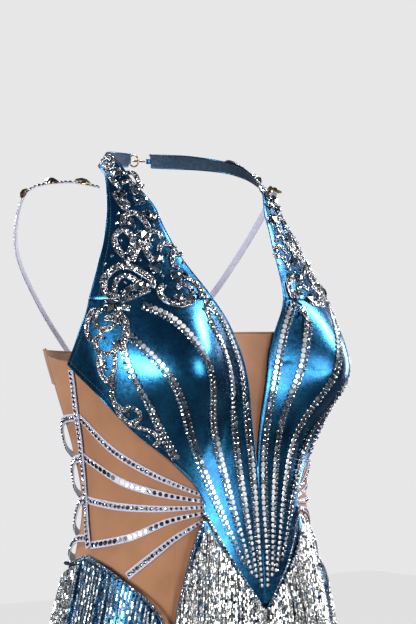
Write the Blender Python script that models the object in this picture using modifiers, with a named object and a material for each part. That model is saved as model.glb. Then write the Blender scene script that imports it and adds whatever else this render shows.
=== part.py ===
"""Fringed halter competition leotard, as worn on a torso form.

Metres, +Z up, wearer facing -Y, so the wearer's right side is -X. The origin is the
centre of the waist. Every textile piece is draped on one torso surface, which is given
by an angle round the body (0 at the front centre, -90 at the wearer's right side) and a
height above the waist. Right-hand pieces are drawn and left-hand ones are their mirror.
"""
from math import copysign, cos, exp, pi, radians, sin

import bmesh
import bpy
from mathutils import Vector

# The torso under the costume: height, half width, front depth, back depth, centre in Y
TORSO = (
    (-0.275, 0.150, 0.004, 0.004, 0.008),
    (-0.262, 0.155, 0.046, 0.060, 0.006),
    (-0.235, 0.163, 0.084, 0.102, 0.000),
    (-0.200, 0.165, 0.102, 0.116, -0.003),
    (-0.130, 0.155, 0.111, 0.105, -0.004),
    (-0.060, 0.138, 0.111, 0.090, -0.002),
    (0.000, 0.125, 0.107, 0.090, 0.000),
    (0.060, 0.134, 0.105, 0.098, 0.003),
    (0.120, 0.150, 0.103, 0.108, 0.008),
    (0.165, 0.159, 0.099, 0.116, 0.012),
    (0.210, 0.157, 0.093, 0.116, 0.012),
    (0.255, 0.147, 0.072, 0.104, 0.012),
    (0.310, 0.122, 0.054, 0.078, 0.018),
    (0.350, 0.086, 0.048, 0.060, 0.026),
    (0.380, 0.062, 0.048, 0.052, 0.032),
    (0.420, 0.056, 0.048, 0.050, 0.030),
)
SQUARENESS = 2.2
BUST_X = 0.090
BUST_Z = 0.144
BUST_HEIGHT = 0.055
BUST_RADIUS = 0.062
BUST_ABOVE = 1.20
BUST_BELOW = 0.95
BUST_SHARPNESS = 1.1
BUST_FORWARD = 0.95
BUST_OUTWARD = 0.18

# Layers, as lift above the torso, and thicknesses
MESH_LIFT = -0.0010
MESH_THICK = 0.0008
FOIL_LIFT = 0.0014
FOIL_THICK = 0.0012
TRIM_LIFT = 0.0037
CAGE_LIFT = 0.0060
APPLIQUE_LIFT = 0.0044
ELASTIC_THICK = 0.0012
STONE_THICK = 0.0016
FRINGE_LIFT = 0.0058
FRINGE_THICK = 0.0025
PAD_LIFT = -0.0062
PAD_THICK = 0.0050

# Outlines of the right half, as (angle in degrees, height)
STRAP_FOOT = 0.2105
POINT_TIP = -0.098
SIDE_CORNER = (-88.5, 0.145)
ARMHOLE = ((0.145, -88.5), (0.164, -82.5), (0.184, -78.0), (0.200, -74.8), (STRAP_FOOT, -73.5))
V_EDGE = ((POINT_TIP, -0.3), (0.040, -0.3), (0.067, -1.0), (0.088, -1.8), (0.118, -3.0), (0.149, -4.6),
          (0.169, -6.8), (0.184, -9.2), (0.200, -12.6), (STRAP_FOOT, -14.9))
LOWER_EDGE = ((POINT_TIP, -1.6), (-0.005, -27.5), (0.006, -27.5), (0.026, -32.5), (0.050, -43.5),
              (0.076, -59.0), (0.104, -72.5), (0.145, -88.5))
STRAP_OUTER = ((-73.3, 0.2115), (-67.5, 0.245), (-64.5, 0.275), (-67.0, 0.306), (-78.0, 0.328),
               (-98.0, 0.344), (-130.0, 0.351), (-171.0, 0.353))
STRAP_INNER = ((-14.9, 0.2115), (-22.5, 0.250), (-28.5, 0.281), (-35.5, 0.308), (-55.0, 0.332),
               (-83.0, 0.353), (-130.0, 0.365), (-171.0, 0.367))
HIP_TOP = ((-90.0, -0.050), (-76.0, -0.059), (-66.0, -0.070), (-56.0, -0.083), (-48.0, -0.098),
           (-43.0, -0.115), (-41.1, -0.140))
APRON_EDGE = ((-0.210, 40.5), (-0.150, 39.9), (-0.125, 39.0), (-0.095, 37.8), (-0.068, 36.0),
              (-0.045, 34.0), (-0.025, 31.5), (-0.008, 27.5))
LEG_FRONT = ((0.0, -0.262), (12.5, -0.262), (25.0, -0.238), (40.5, -0.205), (65.0, -0.182),
             (90.0, -0.165))
LEG_BACK = ((90.0, -0.165), (120.0, -0.188), (150.0, -0.232), (166.0, -0.262), (180.0, -0.262))
SEAT_TOP = ((90.0, -0.050), (115.0, -0.064), (140.0, -0.082), (180.0, -0.098))
SEAM = 0.6
MESH_BACK = -108.0
MESH_FRONT = -29.0
OVERLAP = 0.004
BACK_CLOSURE = -176.5
SIDE_SEAM = 90.0
APRON_WIDEST = 40.5
GUSSET_HALF_WIDTH = 0.034
GUSSET_TOP = -0.2642
GUSSET_DEPTH = 0.012
APRON_GAP = 0.009
APRON_RISE = 0.099
LEG_ELASTIC_RADIUS = 0.0020
LEG_ELASTIC_GAP = 0.0014
PAD_ANGLE = -40.0
PAD_SPREAD = 19.0
PAD_REACH = 0.050
APPLIQUE_MARGIN = 0.07
APPLIQUE_START = 0.02
APPLIQUE_END = 0.68
MODESTY_TOP = 0.176
MODESTY_FOOT = 0.046
MODESTY_TUCK = 2.0
BACK_BAND_TOP = 0.160
BACK_BAND_FOOT = 0.122
BACK_BAND_TAPER = 0.007

# Stone-set elastic bands: (angle, height, width) along each
BAND = 0.0078
BAND_END = 0.0036
SIDE_BAND = ((-88.9, 0.139, BAND), (-90.5, 0.115, BAND), (-92.8, 0.089, BAND), (-95.5, 0.063, BAND),
             (-98.5, 0.037, BAND), (-100.8, 0.012, BAND), (-99.0, -0.014, BAND), (-92.0, -0.042, BAND))
FAN_BANDS = (
    ((-88.8, 0.0905, BAND), (-76.0, 0.0615, BAND), (-54.0, 0.0355, 0.0066), (-30.0, 0.0125, BAND_END)),
    ((-93.0, 0.0500, BAND), (-72.0, 0.0270, BAND), (-50.0, 0.0150, 0.0066), (-30.0, 0.0070, BAND_END)),
    ((-96.6, 0.0055, BAND), (-74.0, 0.0010, BAND), (-50.0, 0.0000, 0.0066), (-30.0, 0.0013, BAND_END)),
    ((-88.7, -0.0395, BAND), (-66.0, -0.0290, BAND), (-46.0, -0.0125, 0.0066), (-30.0, -0.0046, BAND_END)),
    ((-63.5, -0.0670, BAND), (-52.0, -0.0455, BAND), (-42.0, -0.0290, 0.0060), (-30.4, -0.0118, BAND_END)),
)
CAGE_HEIGHTS = (0.088, 0.046, 0.003, -0.036)
CAGE_DROPS = (0.036, 0.036, 0.034, 0.022)
CAGE_START = 105.0

# Stone rows on the bodice: (angle, height, width) along each
ROW = 0.0075
STONE_ROWS = (
    ((-17.4, 0.203, ROW), (-13.8, 0.190, ROW), (-10.6, 0.172, ROW), (-7.8, 0.147, ROW),
     (-5.8, 0.115, ROW), (-4.4, 0.084, ROW), (-3.0, 0.046, ROW), (-2.4, 0.000, ROW),
     (-2.1, -0.040, 0.0056), (-1.4, -0.080, 0.0030)),
    ((-20.5, 0.186, ROW), (-17.0, 0.164, ROW), (-14.6, 0.138, ROW), (-12.6, 0.112, ROW),
     (-11.3, 0.088, ROW), (-10.2, 0.062, ROW), (-9.2, 0.034, ROW), (-7.7, 0.002, 0.0070),
     (-5.6, -0.033, 0.0052), (-3.6, -0.070, 0.0030)),
    ((-47.0, 0.202, ROW), (-38.5, 0.191, ROW), (-33.0, 0.175, ROW), (-29.2, 0.155, ROW),
     (-26.6, 0.132, ROW), (-24.2, 0.107, ROW), (-21.8, 0.082, ROW), (-19.3, 0.057, ROW),
     (-16.8, 0.030, ROW), (-13.8, 0.001, 0.0070), (-9.6, -0.033, 0.0052), (-5.8, -0.066, 0.0032)),
    ((-54.5, 0.172, ROW), (-49.5, 0.156, ROW), (-44.8, 0.138, ROW), (-40.8, 0.118, ROW),
     (-37.0, 0.099, ROW), (-33.5, 0.079, ROW), (-30.2, 0.058, ROW), (-27.4, 0.039, ROW),
     (-24.0, 0.017, 0.0070), (-19.6, -0.006, 0.0060), (-14.0, -0.033, 0.0048), (-9.2, -0.056, 0.0032)),
    ((-57.0, 0.176, ROW), (-58.7, 0.159, ROW), (-58.8, 0.142, ROW), (-56.8, 0.125, ROW),
     (-53.2, 0.108, ROW), (-50.0, 0.093, ROW), (-46.7, 0.078, ROW), (-43.0, 0.063, ROW),
     (-40.4, 0.052, ROW)),
)
SCROLL = ((-67.0, 0.198, 0.024), (-69.5, 0.173, 0.026), (-68.5, 0.149, 0.026), (-67.0, 0.124, 0.020),
          (-64.5, 0.106, 0.016), (-59.5, 0.092, 0.014), (-53.5, 0.0800, 0.010))

# Shoulder band: from the strap over the shoulder to the back band, and the way it faces
SHOULDER_PATH = ((-0.113, 0.010, 0.324), (-0.142, 0.030, 0.329), (-0.166, 0.064, 0.318),
                 (-0.154, 0.098, 0.264), (-0.114, 0.113, 0.205), (-0.066, 0.1215, 0.150))
SHOULDER_FACING = ((-0.25, -0.1, 1.0), (-0.35, 0.1, 1.0), (-0.7, 0.5, 0.7),
                   (-0.6, 0.9, 0.2), (-0.4, 1.0, 0.0), (-0.3, 1.0, 0.0))
SHOULDER_WIDTH = 0.0070

# Fringe: (share of the way along, angle, height) where the strands hang from, right half
HEM = -0.335
FRONT_HANG = ((0.0, -40.3, -0.154), (0.10, -38.8, -0.125), (0.22, -36.2, -0.076), (0.36, -27.8, -0.0165),
              (1.0, -0.7, -0.1050))
HIP_HANG = ((0.0, -90.0, -0.054), (0.26, -76.0, -0.063), (0.46, -66.0, -0.074), (0.66, -56.0, -0.087),
            (0.84, -48.0, -0.102), (1.0, -42.0, -0.146))
BACK_HANG = ((0.0, -179.2, -0.104), (0.5, -140.0, -0.088), (1.0, -92.0, -0.058))
FRONT_FLARE = 0.075
HIP_FLARE = 0.030
BACK_FLARE = 0.020

# Closures
WIRE = 0.0008
NECK_RING_RADIUS = 0.0062
NECK_HEIGHT = 0.360
NECK_Y = 0.0885
BACK_HOOK_Z = 0.141
BACK_HOOK_Y = 0.1268
CLOSURE_REACH = 0.0045

MATERIALS = {
    "foil": ((0.03, 0.20, 0.42), 0.28, 0.9),
    "mesh": ((0.60, 0.30, 0.14), 0.75, 0.0),
    "elastic": ((0.80, 0.80, 0.88), 0.60, 0.0),
    "crystal": ((0.82, 0.84, 0.86), 0.10, 0.8),
    "fringe": ((0.74, 0.74, 0.72), 0.22, 0.9),
    "padding": ((0.78, 0.62, 0.50), 0.90, 0.0),
    "gold": ((0.85, 0.62, 0.28), 0.25, 1.0),
}


def collection(name):
    """Add a collection to the scene."""
    made = bpy.data.collections.new(name)
    bpy.context.scene.collection.children.link(made)
    return made


def material(slot):
    """The Principled material of one slot, made once."""
    if slot in bpy.data.materials:
        return bpy.data.materials[slot]
    colour, roughness, metallic = MATERIALS[slot]
    made = bpy.data.materials.new(slot)
    made.use_nodes = True
    shader = made.node_tree.nodes["Principled BSDF"]
    shader.inputs["Base Color"].default_value = (*colour, 1.0)
    shader.inputs["Roughness"].default_value = roughness
    shader.inputs["Metallic"].default_value = metallic
    return made


def along(points, place):
    """Straight-line value at place in a list of (place, value) that rises or falls."""
    rising = sorted(points)
    if place <= rising[0][0]:
        return rising[0][1]
    for (low, first), (high, second) in zip(rising, rising[1:]):
        if place <= high:
            return first + (second - first) * (place - low) / (high - low)
    return rising[-1][1]


def smooth(before, first, second, after, t):
    """Catmull-Rom value between first and second."""
    return 0.5 * (2 * first + (second - before) * t
                  + (2 * before - 5 * first + 4 * second - after) * t * t
                  + (3 * first - before - 3 * second + after) * t ** 3)


def route(points, t):
    """Smooth point at share t of the way through a list of tuples."""
    spans = len(points) - 1
    index = min(int(t * spans), spans - 1)
    local = t * spans - index
    picked = [points[max(0, min(spans, index + step))] for step in (-1, 0, 1, 2)]
    return tuple(smooth(*values, local) for values in zip(*picked))


def section(height):
    """Half width, front depth, back depth and centre of the torso at a height."""
    height = min(max(height, TORSO[0][0]), TORSO[-1][0])
    index = max(i for i in range(len(TORSO) - 1) if TORSO[i][0] <= height)
    low, high = TORSO[index], TORSO[index + 1]
    below = TORSO[max(index - 1, 0)]
    above = TORSO[min(index + 2, len(TORSO) - 1)]
    span = high[0] - low[0]
    t = (height - low[0]) / span
    values = []
    for column in range(1, 5):
        start = (high[column] - below[column]) / (high[0] - below[0]) * span
        end = (above[column] - low[column]) / (above[0] - low[0]) * span
        values.append((2 * t ** 3 - 3 * t * t + 1) * low[column] + (t ** 3 - 2 * t * t + t) * start
                      + (3 * t * t - 2 * t ** 3) * high[column] + (t ** 3 - t * t) * end)
    return values


def power(value):
    """Round or square a sine so that the section is a superellipse."""
    return copysign(abs(value) ** (2 / SQUARENESS), value)


def bare(angle, height):
    """Point on the torso itself, with the bust."""
    half, front, back, centre = section(height)
    across = sin(radians(angle))
    ahead = cos(radians(angle))
    x = half * power(across)
    y = centre - (front if ahead > 0 else back) * power(ahead)
    if ahead > 0:
        for side in (-1, 1):
            reach = BUST_RADIUS * (BUST_ABOVE if height > BUST_Z else BUST_BELOW)
            away = ((x - side * BUST_X) / BUST_RADIUS) ** 2 + ((height - BUST_Z) / reach) ** 2
            swell = BUST_HEIGHT * exp(-BUST_SHARPNESS * away) * min(1.0, 4 * ahead)
            y -= BUST_FORWARD * swell
            x += side * BUST_OUTWARD * swell
    return Vector((x, y, height))


def facing(angle, height):
    """Outward normal of the torso."""
    step = 0.5
    rise = 0.002
    round_body = bare(angle + step, height) - bare(angle - step, height)
    upward = bare(angle, height + rise) - bare(angle, height - rise)
    return round_body.cross(upward).normalized()


def on_body(angle, height, lift):
    """Point lifted off the torso along its normal."""
    return bare(angle, height) + facing(angle, height) * lift


def mirrored(place):
    """The same piece on the wearer's left: the grid runs the other way and X changes sign."""
    def left(u, v):
        point = place(1 - u, v)
        return Vector((-point.x, point.y, point.z))
    return left


def add_object(name, data, slot, pivot=(0, 0, 0)):
    """Link an object with its material at its pivot."""
    made = bpy.data.objects.new(name, data)
    made.location = pivot
    data.materials.append(material(slot))
    LEOTARD.objects.link(made)
    return made


def panel(name, cells, place, thickness, slot, pivot=(0, 0, 0)):
    """Drape a grid through place(u, v), both 0 to 1, and thicken it outwards."""
    work = bmesh.new()
    bmesh.ops.create_grid(work, x_segments=cells[0], y_segments=cells[1], size=0.5)
    for vert in work.verts:
        vert.co = place(vert.co.x + 0.5, vert.co.y + 0.5) - Vector(pivot)
    mesh = bpy.data.meshes.new(name)
    work.to_mesh(mesh)
    work.free()
    made = add_object(name, mesh, slot, pivot)
    shell = made.modifiers.new("Thickness", "SOLIDIFY")
    shell.thickness = thickness
    shell.offset = 1.0
    return made


def pair(name, cells, place, thickness, slot):
    """A right-hand piece and its left-hand mirror."""
    panel(name + "_right", cells, place, thickness, slot)
    panel(name + "_left", cells, mirrored(place), thickness, slot)


def body_ribbon(path, lift):
    """Place function of a ribbon that lies on the torso; path holds angle, height, width."""
    def place(u, v):
        step = 0.01
        angle, height, width = route(path, u)
        here = on_body(angle, height, lift)
        ahead = Vector(on_body(*route(path, min(u + step, 1))[:2], lift))
        behind = Vector(on_body(*route(path, max(u - step, 0))[:2], lift))
        across = facing(angle, height).cross((ahead - behind).normalized()).normalized()
        return here + across * width * (v - 0.5)
    return place


def free_ribbon(points, faces, width):
    """Place function of a ribbon through points in space, facing the way that faces says."""
    def place(u, v):
        step = 0.01
        ahead = Vector(route(points, min(u + step, 1)))
        behind = Vector(route(points, max(u - step, 0)))
        across = Vector(route(faces, u)).cross((ahead - behind).normalized()).normalized()
        return Vector(route(points, u)) + across * width * (v - 0.5)
    return place


def wire(name, points, slot, radius=WIRE, pivot=(0, 0, 0), closed=False):
    """A round wire or cord through points."""
    data = bpy.data.curves.new(name, "CURVE")
    data.dimensions = "3D"
    data.bevel_depth = radius
    data.bevel_resolution = 2
    data.use_fill_caps = not closed
    spline = data.splines.new("POLY")
    spline.points.add(len(points) - 1)
    for target, point in zip(spline.points, points):
        target.co = (*(Vector(point) - Vector(pivot)), 1.0)
    spline.use_cyclic_u = closed
    return add_object(name, data, slot, pivot)


# ---- bodice, straps and cups

def bodice_place(u, v):
    """Foil half: rows of equal height, from the armhole or lower edge to the V."""
    height = along(((0.0, POINT_TIP), (0.35, 0.0), (0.75, 0.145), (1.0, STRAP_FOOT)), v)
    outer = along(ARMHOLE if height > SIDE_CORNER[1] else LOWER_EDGE, height)
    return on_body(outer + (along(V_EDGE, height) - outer) * u, height, FOIL_LIFT)


def strap_place(u, v, lift=FOIL_LIFT):
    """Halter strap, between its armhole rail and its neck rail."""
    outer = route(STRAP_OUTER, v)
    inner = route(STRAP_INNER, v)
    return on_body(outer[0] + (inner[0] - outer[0]) * u, outer[1] + (inner[1] - outer[1]) * u, lift)


def pad_place(u, v):
    """Round cup pad inside the bodice."""
    across = 2 * u - 1
    up = 2 * v - 1
    angle = PAD_ANGLE + PAD_SPREAD * across * (1 - up * up / 2) ** 0.5
    height = BUST_Z + PAD_REACH * up * (1 - across * across / 2) ** 0.5
    return on_body(angle, height, PAD_LIFT)


def build_bodice():
    """Foil halves, straps, pads and the applied stones on the straps."""
    pair("bodice", (14, 21), bodice_place, FOIL_THICK, "foil")
    pair("halter_strap", (5, 20), strap_place, FOIL_THICK, "foil")
    pair("cup_pad", (8, 8), pad_place, PAD_THICK, "padding")

    def applique_place(u, v):
        across = APPLIQUE_MARGIN + (1 - 2 * APPLIQUE_MARGIN) * u
        return strap_place(across, APPLIQUE_START + (APPLIQUE_END - APPLIQUE_START) * v, APPLIQUE_LIFT)
    pair("strap_applique", (5, 13), applique_place, STONE_THICK, "crystal")
    pair("side_scroll", (8, 2), body_ribbon(SCROLL, TRIM_LIFT), STONE_THICK, "crystal")
    for number, path in enumerate(STONE_ROWS, start=1):
        steps = 2 * (len(path) - 1)
        pair(f"stone_row_{number}", (steps, 1), body_ribbon(path, TRIM_LIFT), STONE_THICK, "crystal")


# ---- mesh

def modesty_place(u, v):
    """Insert across the V, running under the foil at both sides."""
    height = MODESTY_FOOT + (MODESTY_TOP - MODESTY_FOOT) * v
    edge = along(V_EDGE, height) - MODESTY_TUCK
    return on_body(edge * (1 - 2 * u), height, MESH_LIFT)


def side_mesh_place(u, v):
    """Side window, from the bodice edge down to the hip panel and the apron edge."""
    angle = MESH_BACK + (MESH_FRONT - MESH_BACK) * u
    lower = [(turn, height) for height, turn in LOWER_EDGE[2:]]
    top = along(((MESH_BACK, 0.150), *lower), angle) + 0.002
    apron = [(-turn, height) for height, turn in APRON_EDGE]
    foot = along(((MESH_BACK, -0.052), *HIP_TOP), angle) if angle < HIP_TOP[-1][0] else along(apron, angle)
    return on_body(angle, foot - OVERLAP + (top - foot + OVERLAP) * v, MESH_LIFT)


def back_band_place(u, v):
    """Band under the arm to the back closure, narrowing to the closure."""
    angle = BACK_CLOSURE + (MESH_BACK - SEAM - BACK_CLOSURE) * u
    squeeze = BACK_BAND_TAPER * (1 - u)
    low = BACK_BAND_FOOT + squeeze
    high = BACK_BAND_TOP - squeeze
    return on_body(angle, low + (high - low) * v, MESH_LIFT)


def build_mesh():
    """All skin-coloured mesh."""
    panel("modesty_insert", (4, 8), modesty_place, MESH_THICK, "mesh")
    pair("side_mesh", (14, 6), side_mesh_place, MESH_THICK, "mesh")
    pair("back_band", (12, 2), back_band_place, MESH_THICK, "mesh")


# ---- brief

def apron_place(u, v):
    """Foil front of the brief, notched for the bodice point."""
    share = 2 * u - 1
    top = POINT_TIP - APRON_GAP + APRON_RISE * abs(share)
    foot = along(LEG_FRONT, abs(share) * APRON_WIDEST)
    lowest = LEG_FRONT[3][1]
    rail = along(APRON_EDGE, lowest + (APRON_EDGE[-1][0] - lowest) * v)
    return on_body(share * rail, foot + (top - foot) * v, FOIL_LIFT)


def hip_place(u, v):
    """Foil hip panel."""
    angle = -SIDE_SEAM + (SIDE_SEAM - APRON_WIDEST - SEAM) * u
    top = along(HIP_TOP, angle)
    foot = along(LEG_FRONT, -angle)
    return on_body(angle, foot + (top - foot) * v, FOIL_LIFT)


def seat_place(u, v):
    """Foil seat, from side seam to side seam round the back."""
    angle = SIDE_SEAM + SEAM + (360 - 2 * (SIDE_SEAM + SEAM)) * u
    turned = 180 - abs(angle - 180)
    top = along(SEAT_TOP, turned)
    foot = along(LEG_BACK, turned)
    return on_body(angle, foot + (top - foot) * v, FOIL_LIFT)


def leg_edge():
    """Route of the leg elastic round the right leg opening."""
    drop = LEG_ELASTIC_RADIUS + FOIL_THICK + LEG_ELASTIC_GAP
    points = []
    for angle in (18, 30, 41, 53, 65, 78, 90):
        points.append(on_body(-angle, along(LEG_FRONT, angle) - drop, FOIL_LIFT))
    for angle in (104, 120, 135, 150, 160):
        points.append(on_body(-angle, along(LEG_BACK, angle) - drop, FOIL_LIFT))
    for y, z in ((0.058, -0.272), (0.016, -0.278), (-0.026, -0.272)):
        points.append(Vector((-GUSSET_HALF_WIDTH - 0.005, y, z)))
    return points


def build_brief():
    """Foil brief, gusset and leg elastics."""
    panel("brief_front", (12, 7), apron_place, FOIL_THICK, "foil")
    pair("hip_panel", (9, 5), hip_place, FOIL_THICK, "foil")
    panel("seat_panel", (20, 4), seat_place, FOIL_THICK, "foil")
    front = bare(0, LEG_FRONT[0][1]).y
    back = bare(180, LEG_FRONT[0][1]).y
    middle = (front + back) / 2
    reach = (back - front) / 2 + FOIL_LIFT
    arc = []
    outward = []
    for step in range(9):
        turn = pi * (0.02 + 0.96 * step / 8)
        arc.append((0.0, middle + reach * cos(turn), GUSSET_TOP - GUSSET_DEPTH * sin(turn)))
        outward.append((0.0, cos(turn) * 0.3, -sin(turn) - 0.2))
    gusset = free_ribbon(arc, outward, 2 * GUSSET_HALF_WIDTH)
    panel("gusset", (8, 4), gusset, FOIL_THICK, "foil")
    right = leg_edge()
    left = [Vector((-point.x, point.y, point.z)) for point in right]
    wire("leg_elastic_right", right, "foil", LEG_ELASTIC_RADIUS, closed=True)
    wire("leg_elastic_left", left, "foil", LEG_ELASTIC_RADIUS, closed=True)


# ---- stone-set elastic bands

def build_bands():
    """Side, fan, cage and shoulder bands."""
    pair("side_band", (14, 1), body_ribbon(SIDE_BAND, TRIM_LIFT), ELASTIC_THICK, "elastic")
    for number, path in enumerate(FAN_BANDS, start=1):
        steps = 6 if number == len(FAN_BANDS) else 10
        pair(f"fan_band_{number}", (steps, 1), body_ribbon(path, TRIM_LIFT), ELASTIC_THICK, "elastic")
    for number, (height, drop) in enumerate(zip(CAGE_HEIGHTS, CAGE_DROPS), start=1):
        path = [(CAGE_START, height, BAND), (130.0, height - drop, BAND),
                (180.0, height - 1.5 * drop, BAND), (230.0, height - drop, BAND),
                (360.0 - CAGE_START, height, BAND)]
        panel(f"cage_band_{number}", (20, 1), body_ribbon(path, CAGE_LIFT), ELASTIC_THICK, "elastic")
    shoulder = free_ribbon(SHOULDER_PATH, SHOULDER_FACING, SHOULDER_WIDTH)
    pair("shoulder_band", (20, 1), shoulder, ELASTIC_THICK, "elastic")


# ---- fringe

def hang_point(angle, height, start, flare):
    """A strand's point: it follows the body out to the hips, then falls straight."""
    widest = max(height, -0.200)
    half, front, back, centre = section(widest)
    front = max(front, section(-0.060)[1])
    ahead = cos(radians(angle))
    x = half * power(sin(radians(angle)))
    y = centre - (front if ahead > 0 else back) * power(ahead)
    slope = Vector((x / half ** 2, (y - centre) / (front if ahead > 0 else back) ** 2, 0)).normalized()
    return Vector((x, y, height)) + slope * (FRINGE_LIFT + flare * (start - height))


def fringe_place(hang, flare):
    """Place function of a curtain whose strands hang from a line on the body."""
    def place(u, v):
        angle = along([(share, turn) for share, turn, _ in hang], u)
        start = along([(share, top) for share, _, top in hang], u)
        return hang_point(angle, HEM + (start - HEM) * v, start, flare)
    return place


def hinge(place, straight):
    """Pivot and axis of a curtain: level, at its highest edge, tangent to its outermost point."""
    edge = [place(step / 20, 1) for step in range(21)]
    if straight:
        outward = Vector((0, -1, 0))
    else:
        chord = edge[-1] - edge[0]
        outward = Vector((chord.y, -chord.x, 0)).normalized()
    reach = max(point.dot(outward) for point in edge) + FRINGE_THICK / 2
    middle = sum(edge, Vector()) / len(edge)
    pivot = middle + outward * (reach - middle.dot(outward))
    pivot.z = max(point.z for point in edge)
    return pivot, outward.cross(Vector((0, 0, 1)))


def build_fringe():
    """Six curtains of bead fringe, each hung on its own edge, and their hinges."""
    hinges = {}
    curtains = (("fringe_front", FRONT_HANG, FRONT_FLARE, (14, 4), True),
                ("fringe_hip", HIP_HANG, HIP_FLARE, (8, 4), False),
                ("fringe_back", BACK_HANG, BACK_FLARE, (9, 4), False))
    for name, hang, flare, cells, straight in curtains:
        right = fringe_place(hang, flare)
        for side, place in (("_right", right), ("_left", mirrored(right))):
            pivot, axis = hinge(place, straight)
            panel(name + side, cells, place, FRINGE_THICK, "fringe", pivot)
            hinges[name + side] = (pivot, axis)
    return hinges


# ---- closures

def build_closures():
    """Neck ring and hook, and the back hook and its eye."""
    ring = []
    for step in range(16):
        turn = 2 * pi * step / 16
        x = -NECK_RING_RADIUS - 0.0004 + NECK_RING_RADIUS * cos(turn)
        ring.append((x, NECK_Y, NECK_HEIGHT + NECK_RING_RADIUS * sin(turn)))
    pivot = (-2 * NECK_RING_RADIUS - 0.0004, NECK_Y, NECK_HEIGHT)
    wire("neck_ring", ring, "gold", pivot=pivot, closed=True)
    out = NECK_Y + CLOSURE_REACH
    inside = NECK_Y - CLOSURE_REACH
    wire("neck_hook", ((0.0115, out - 0.001, NECK_HEIGHT), (0.004, out, NECK_HEIGHT),
                       (-0.0030, out, NECK_HEIGHT), (-0.0052, out - 0.0015, NECK_HEIGHT),
                       (-0.0060, NECK_Y, NECK_HEIGHT), (-0.0052, inside + 0.0015, NECK_HEIGHT),
                       (-0.0030, inside, NECK_HEIGHT), (-0.0005, inside, NECK_HEIGHT)), "gold")
    eye = []
    for step in range(13):
        turn = pi / 2 + pi * step / 12
        eye.append((-0.0015 - 0.0045 * cos(turn) - 0.004, BACK_HOOK_Y, BACK_HOOK_Z + 0.0045 * sin(turn)))
    wire("back_eye", [(-0.0085, BACK_HOOK_Y, BACK_HOOK_Z + 0.0045), *eye,
                      (-0.0085, BACK_HOOK_Y, BACK_HOOK_Z - 0.0045)], "gold")
    wire("back_hook", ((0.0085, BACK_HOOK_Y + 0.0005, BACK_HOOK_Z),
                       (0.0030, BACK_HOOK_Y + 0.0028, BACK_HOOK_Z),
                       (-0.0020, BACK_HOOK_Y + 0.0028, BACK_HOOK_Z), (-0.0040, BACK_HOOK_Y, BACK_HOOK_Z),
                       (-0.0025, BACK_HOOK_Y - 0.0028, BACK_HOOK_Z),
                       (0.0010, BACK_HOOK_Y - 0.0028, BACK_HOOK_Z)), "gold")


for old in list(bpy.data.objects):
    bpy.data.objects.remove(old, do_unlink=True)
LEOTARD = collection("Halter leotard")
build_bodice()
build_mesh()
build_brief()
build_bands()
HINGES = build_fringe()
build_closures()
for hinge_name, (hinge_pivot, hinge_axis) in HINGES.items():
    print(hinge_name, [round(v, 5) for v in hinge_pivot], [round(v, 5) for v in hinge_axis])
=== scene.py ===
"""Looks of the fringed halter competition leotard, draped on the same torso surface as the frame.

Right-hand pieces are drawn and left-hand ones are their mirror. A place on the garment is an
angle round the body in degrees (0 at the front centre, -90 at the wearer's right side) and a
height above the waist in metres.
"""
import math

import bpy
import numpy as np
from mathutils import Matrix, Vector


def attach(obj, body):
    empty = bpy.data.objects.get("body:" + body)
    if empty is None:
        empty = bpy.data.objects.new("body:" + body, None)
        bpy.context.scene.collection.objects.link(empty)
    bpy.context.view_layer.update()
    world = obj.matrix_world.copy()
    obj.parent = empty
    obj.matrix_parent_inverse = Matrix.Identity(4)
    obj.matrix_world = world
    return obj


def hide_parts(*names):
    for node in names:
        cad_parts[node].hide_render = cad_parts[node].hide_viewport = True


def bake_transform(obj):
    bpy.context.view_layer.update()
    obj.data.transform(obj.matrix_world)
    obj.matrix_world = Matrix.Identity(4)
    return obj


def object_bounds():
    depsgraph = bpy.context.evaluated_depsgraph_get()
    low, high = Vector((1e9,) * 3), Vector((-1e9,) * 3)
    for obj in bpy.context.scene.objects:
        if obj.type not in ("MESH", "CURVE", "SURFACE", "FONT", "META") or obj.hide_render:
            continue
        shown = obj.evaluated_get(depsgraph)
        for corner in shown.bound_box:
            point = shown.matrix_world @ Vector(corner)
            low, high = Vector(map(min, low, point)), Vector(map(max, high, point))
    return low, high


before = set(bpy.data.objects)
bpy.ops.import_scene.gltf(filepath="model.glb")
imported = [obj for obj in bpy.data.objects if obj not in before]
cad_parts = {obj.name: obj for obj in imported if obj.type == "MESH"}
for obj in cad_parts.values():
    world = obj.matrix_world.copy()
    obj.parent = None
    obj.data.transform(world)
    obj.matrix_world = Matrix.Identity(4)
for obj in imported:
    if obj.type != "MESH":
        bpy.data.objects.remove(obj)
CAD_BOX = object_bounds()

RNG = np.random.default_rng(11)
LOOK = "_look"
SIDES = ("right", "left")
NEARBY = 0.004

# --- the torso under the garment

# height, half width, front depth, back depth, centre in Y
TORSO = np.array((
    (-0.275, 0.150, 0.004, 0.004, 0.008),
    (-0.262, 0.155, 0.046, 0.060, 0.006),
    (-0.235, 0.163, 0.084, 0.102, 0.000),
    (-0.200, 0.165, 0.102, 0.116, -0.003),
    (-0.130, 0.155, 0.111, 0.105, -0.004),
    (-0.060, 0.138, 0.111, 0.090, -0.002),
    (0.000, 0.125, 0.107, 0.090, 0.000),
    (0.060, 0.134, 0.105, 0.098, 0.003),
    (0.120, 0.150, 0.103, 0.108, 0.008),
    (0.165, 0.159, 0.099, 0.116, 0.012),
    (0.210, 0.157, 0.093, 0.116, 0.012),
    (0.255, 0.147, 0.072, 0.104, 0.012),
    (0.310, 0.122, 0.054, 0.078, 0.018),
    (0.350, 0.086, 0.048, 0.060, 0.026),
    (0.380, 0.062, 0.048, 0.052, 0.032),
    (0.420, 0.056, 0.048, 0.050, 0.030),
))
SQUARENESS = 2.2
BUST_X = 0.090
BUST_Z = 0.144
BUST_HEIGHT = 0.055
BUST_RADIUS = 0.062
BUST_ABOVE = 1.20
BUST_BELOW = 0.95
BUST_SHARPNESS = 1.1
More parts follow.
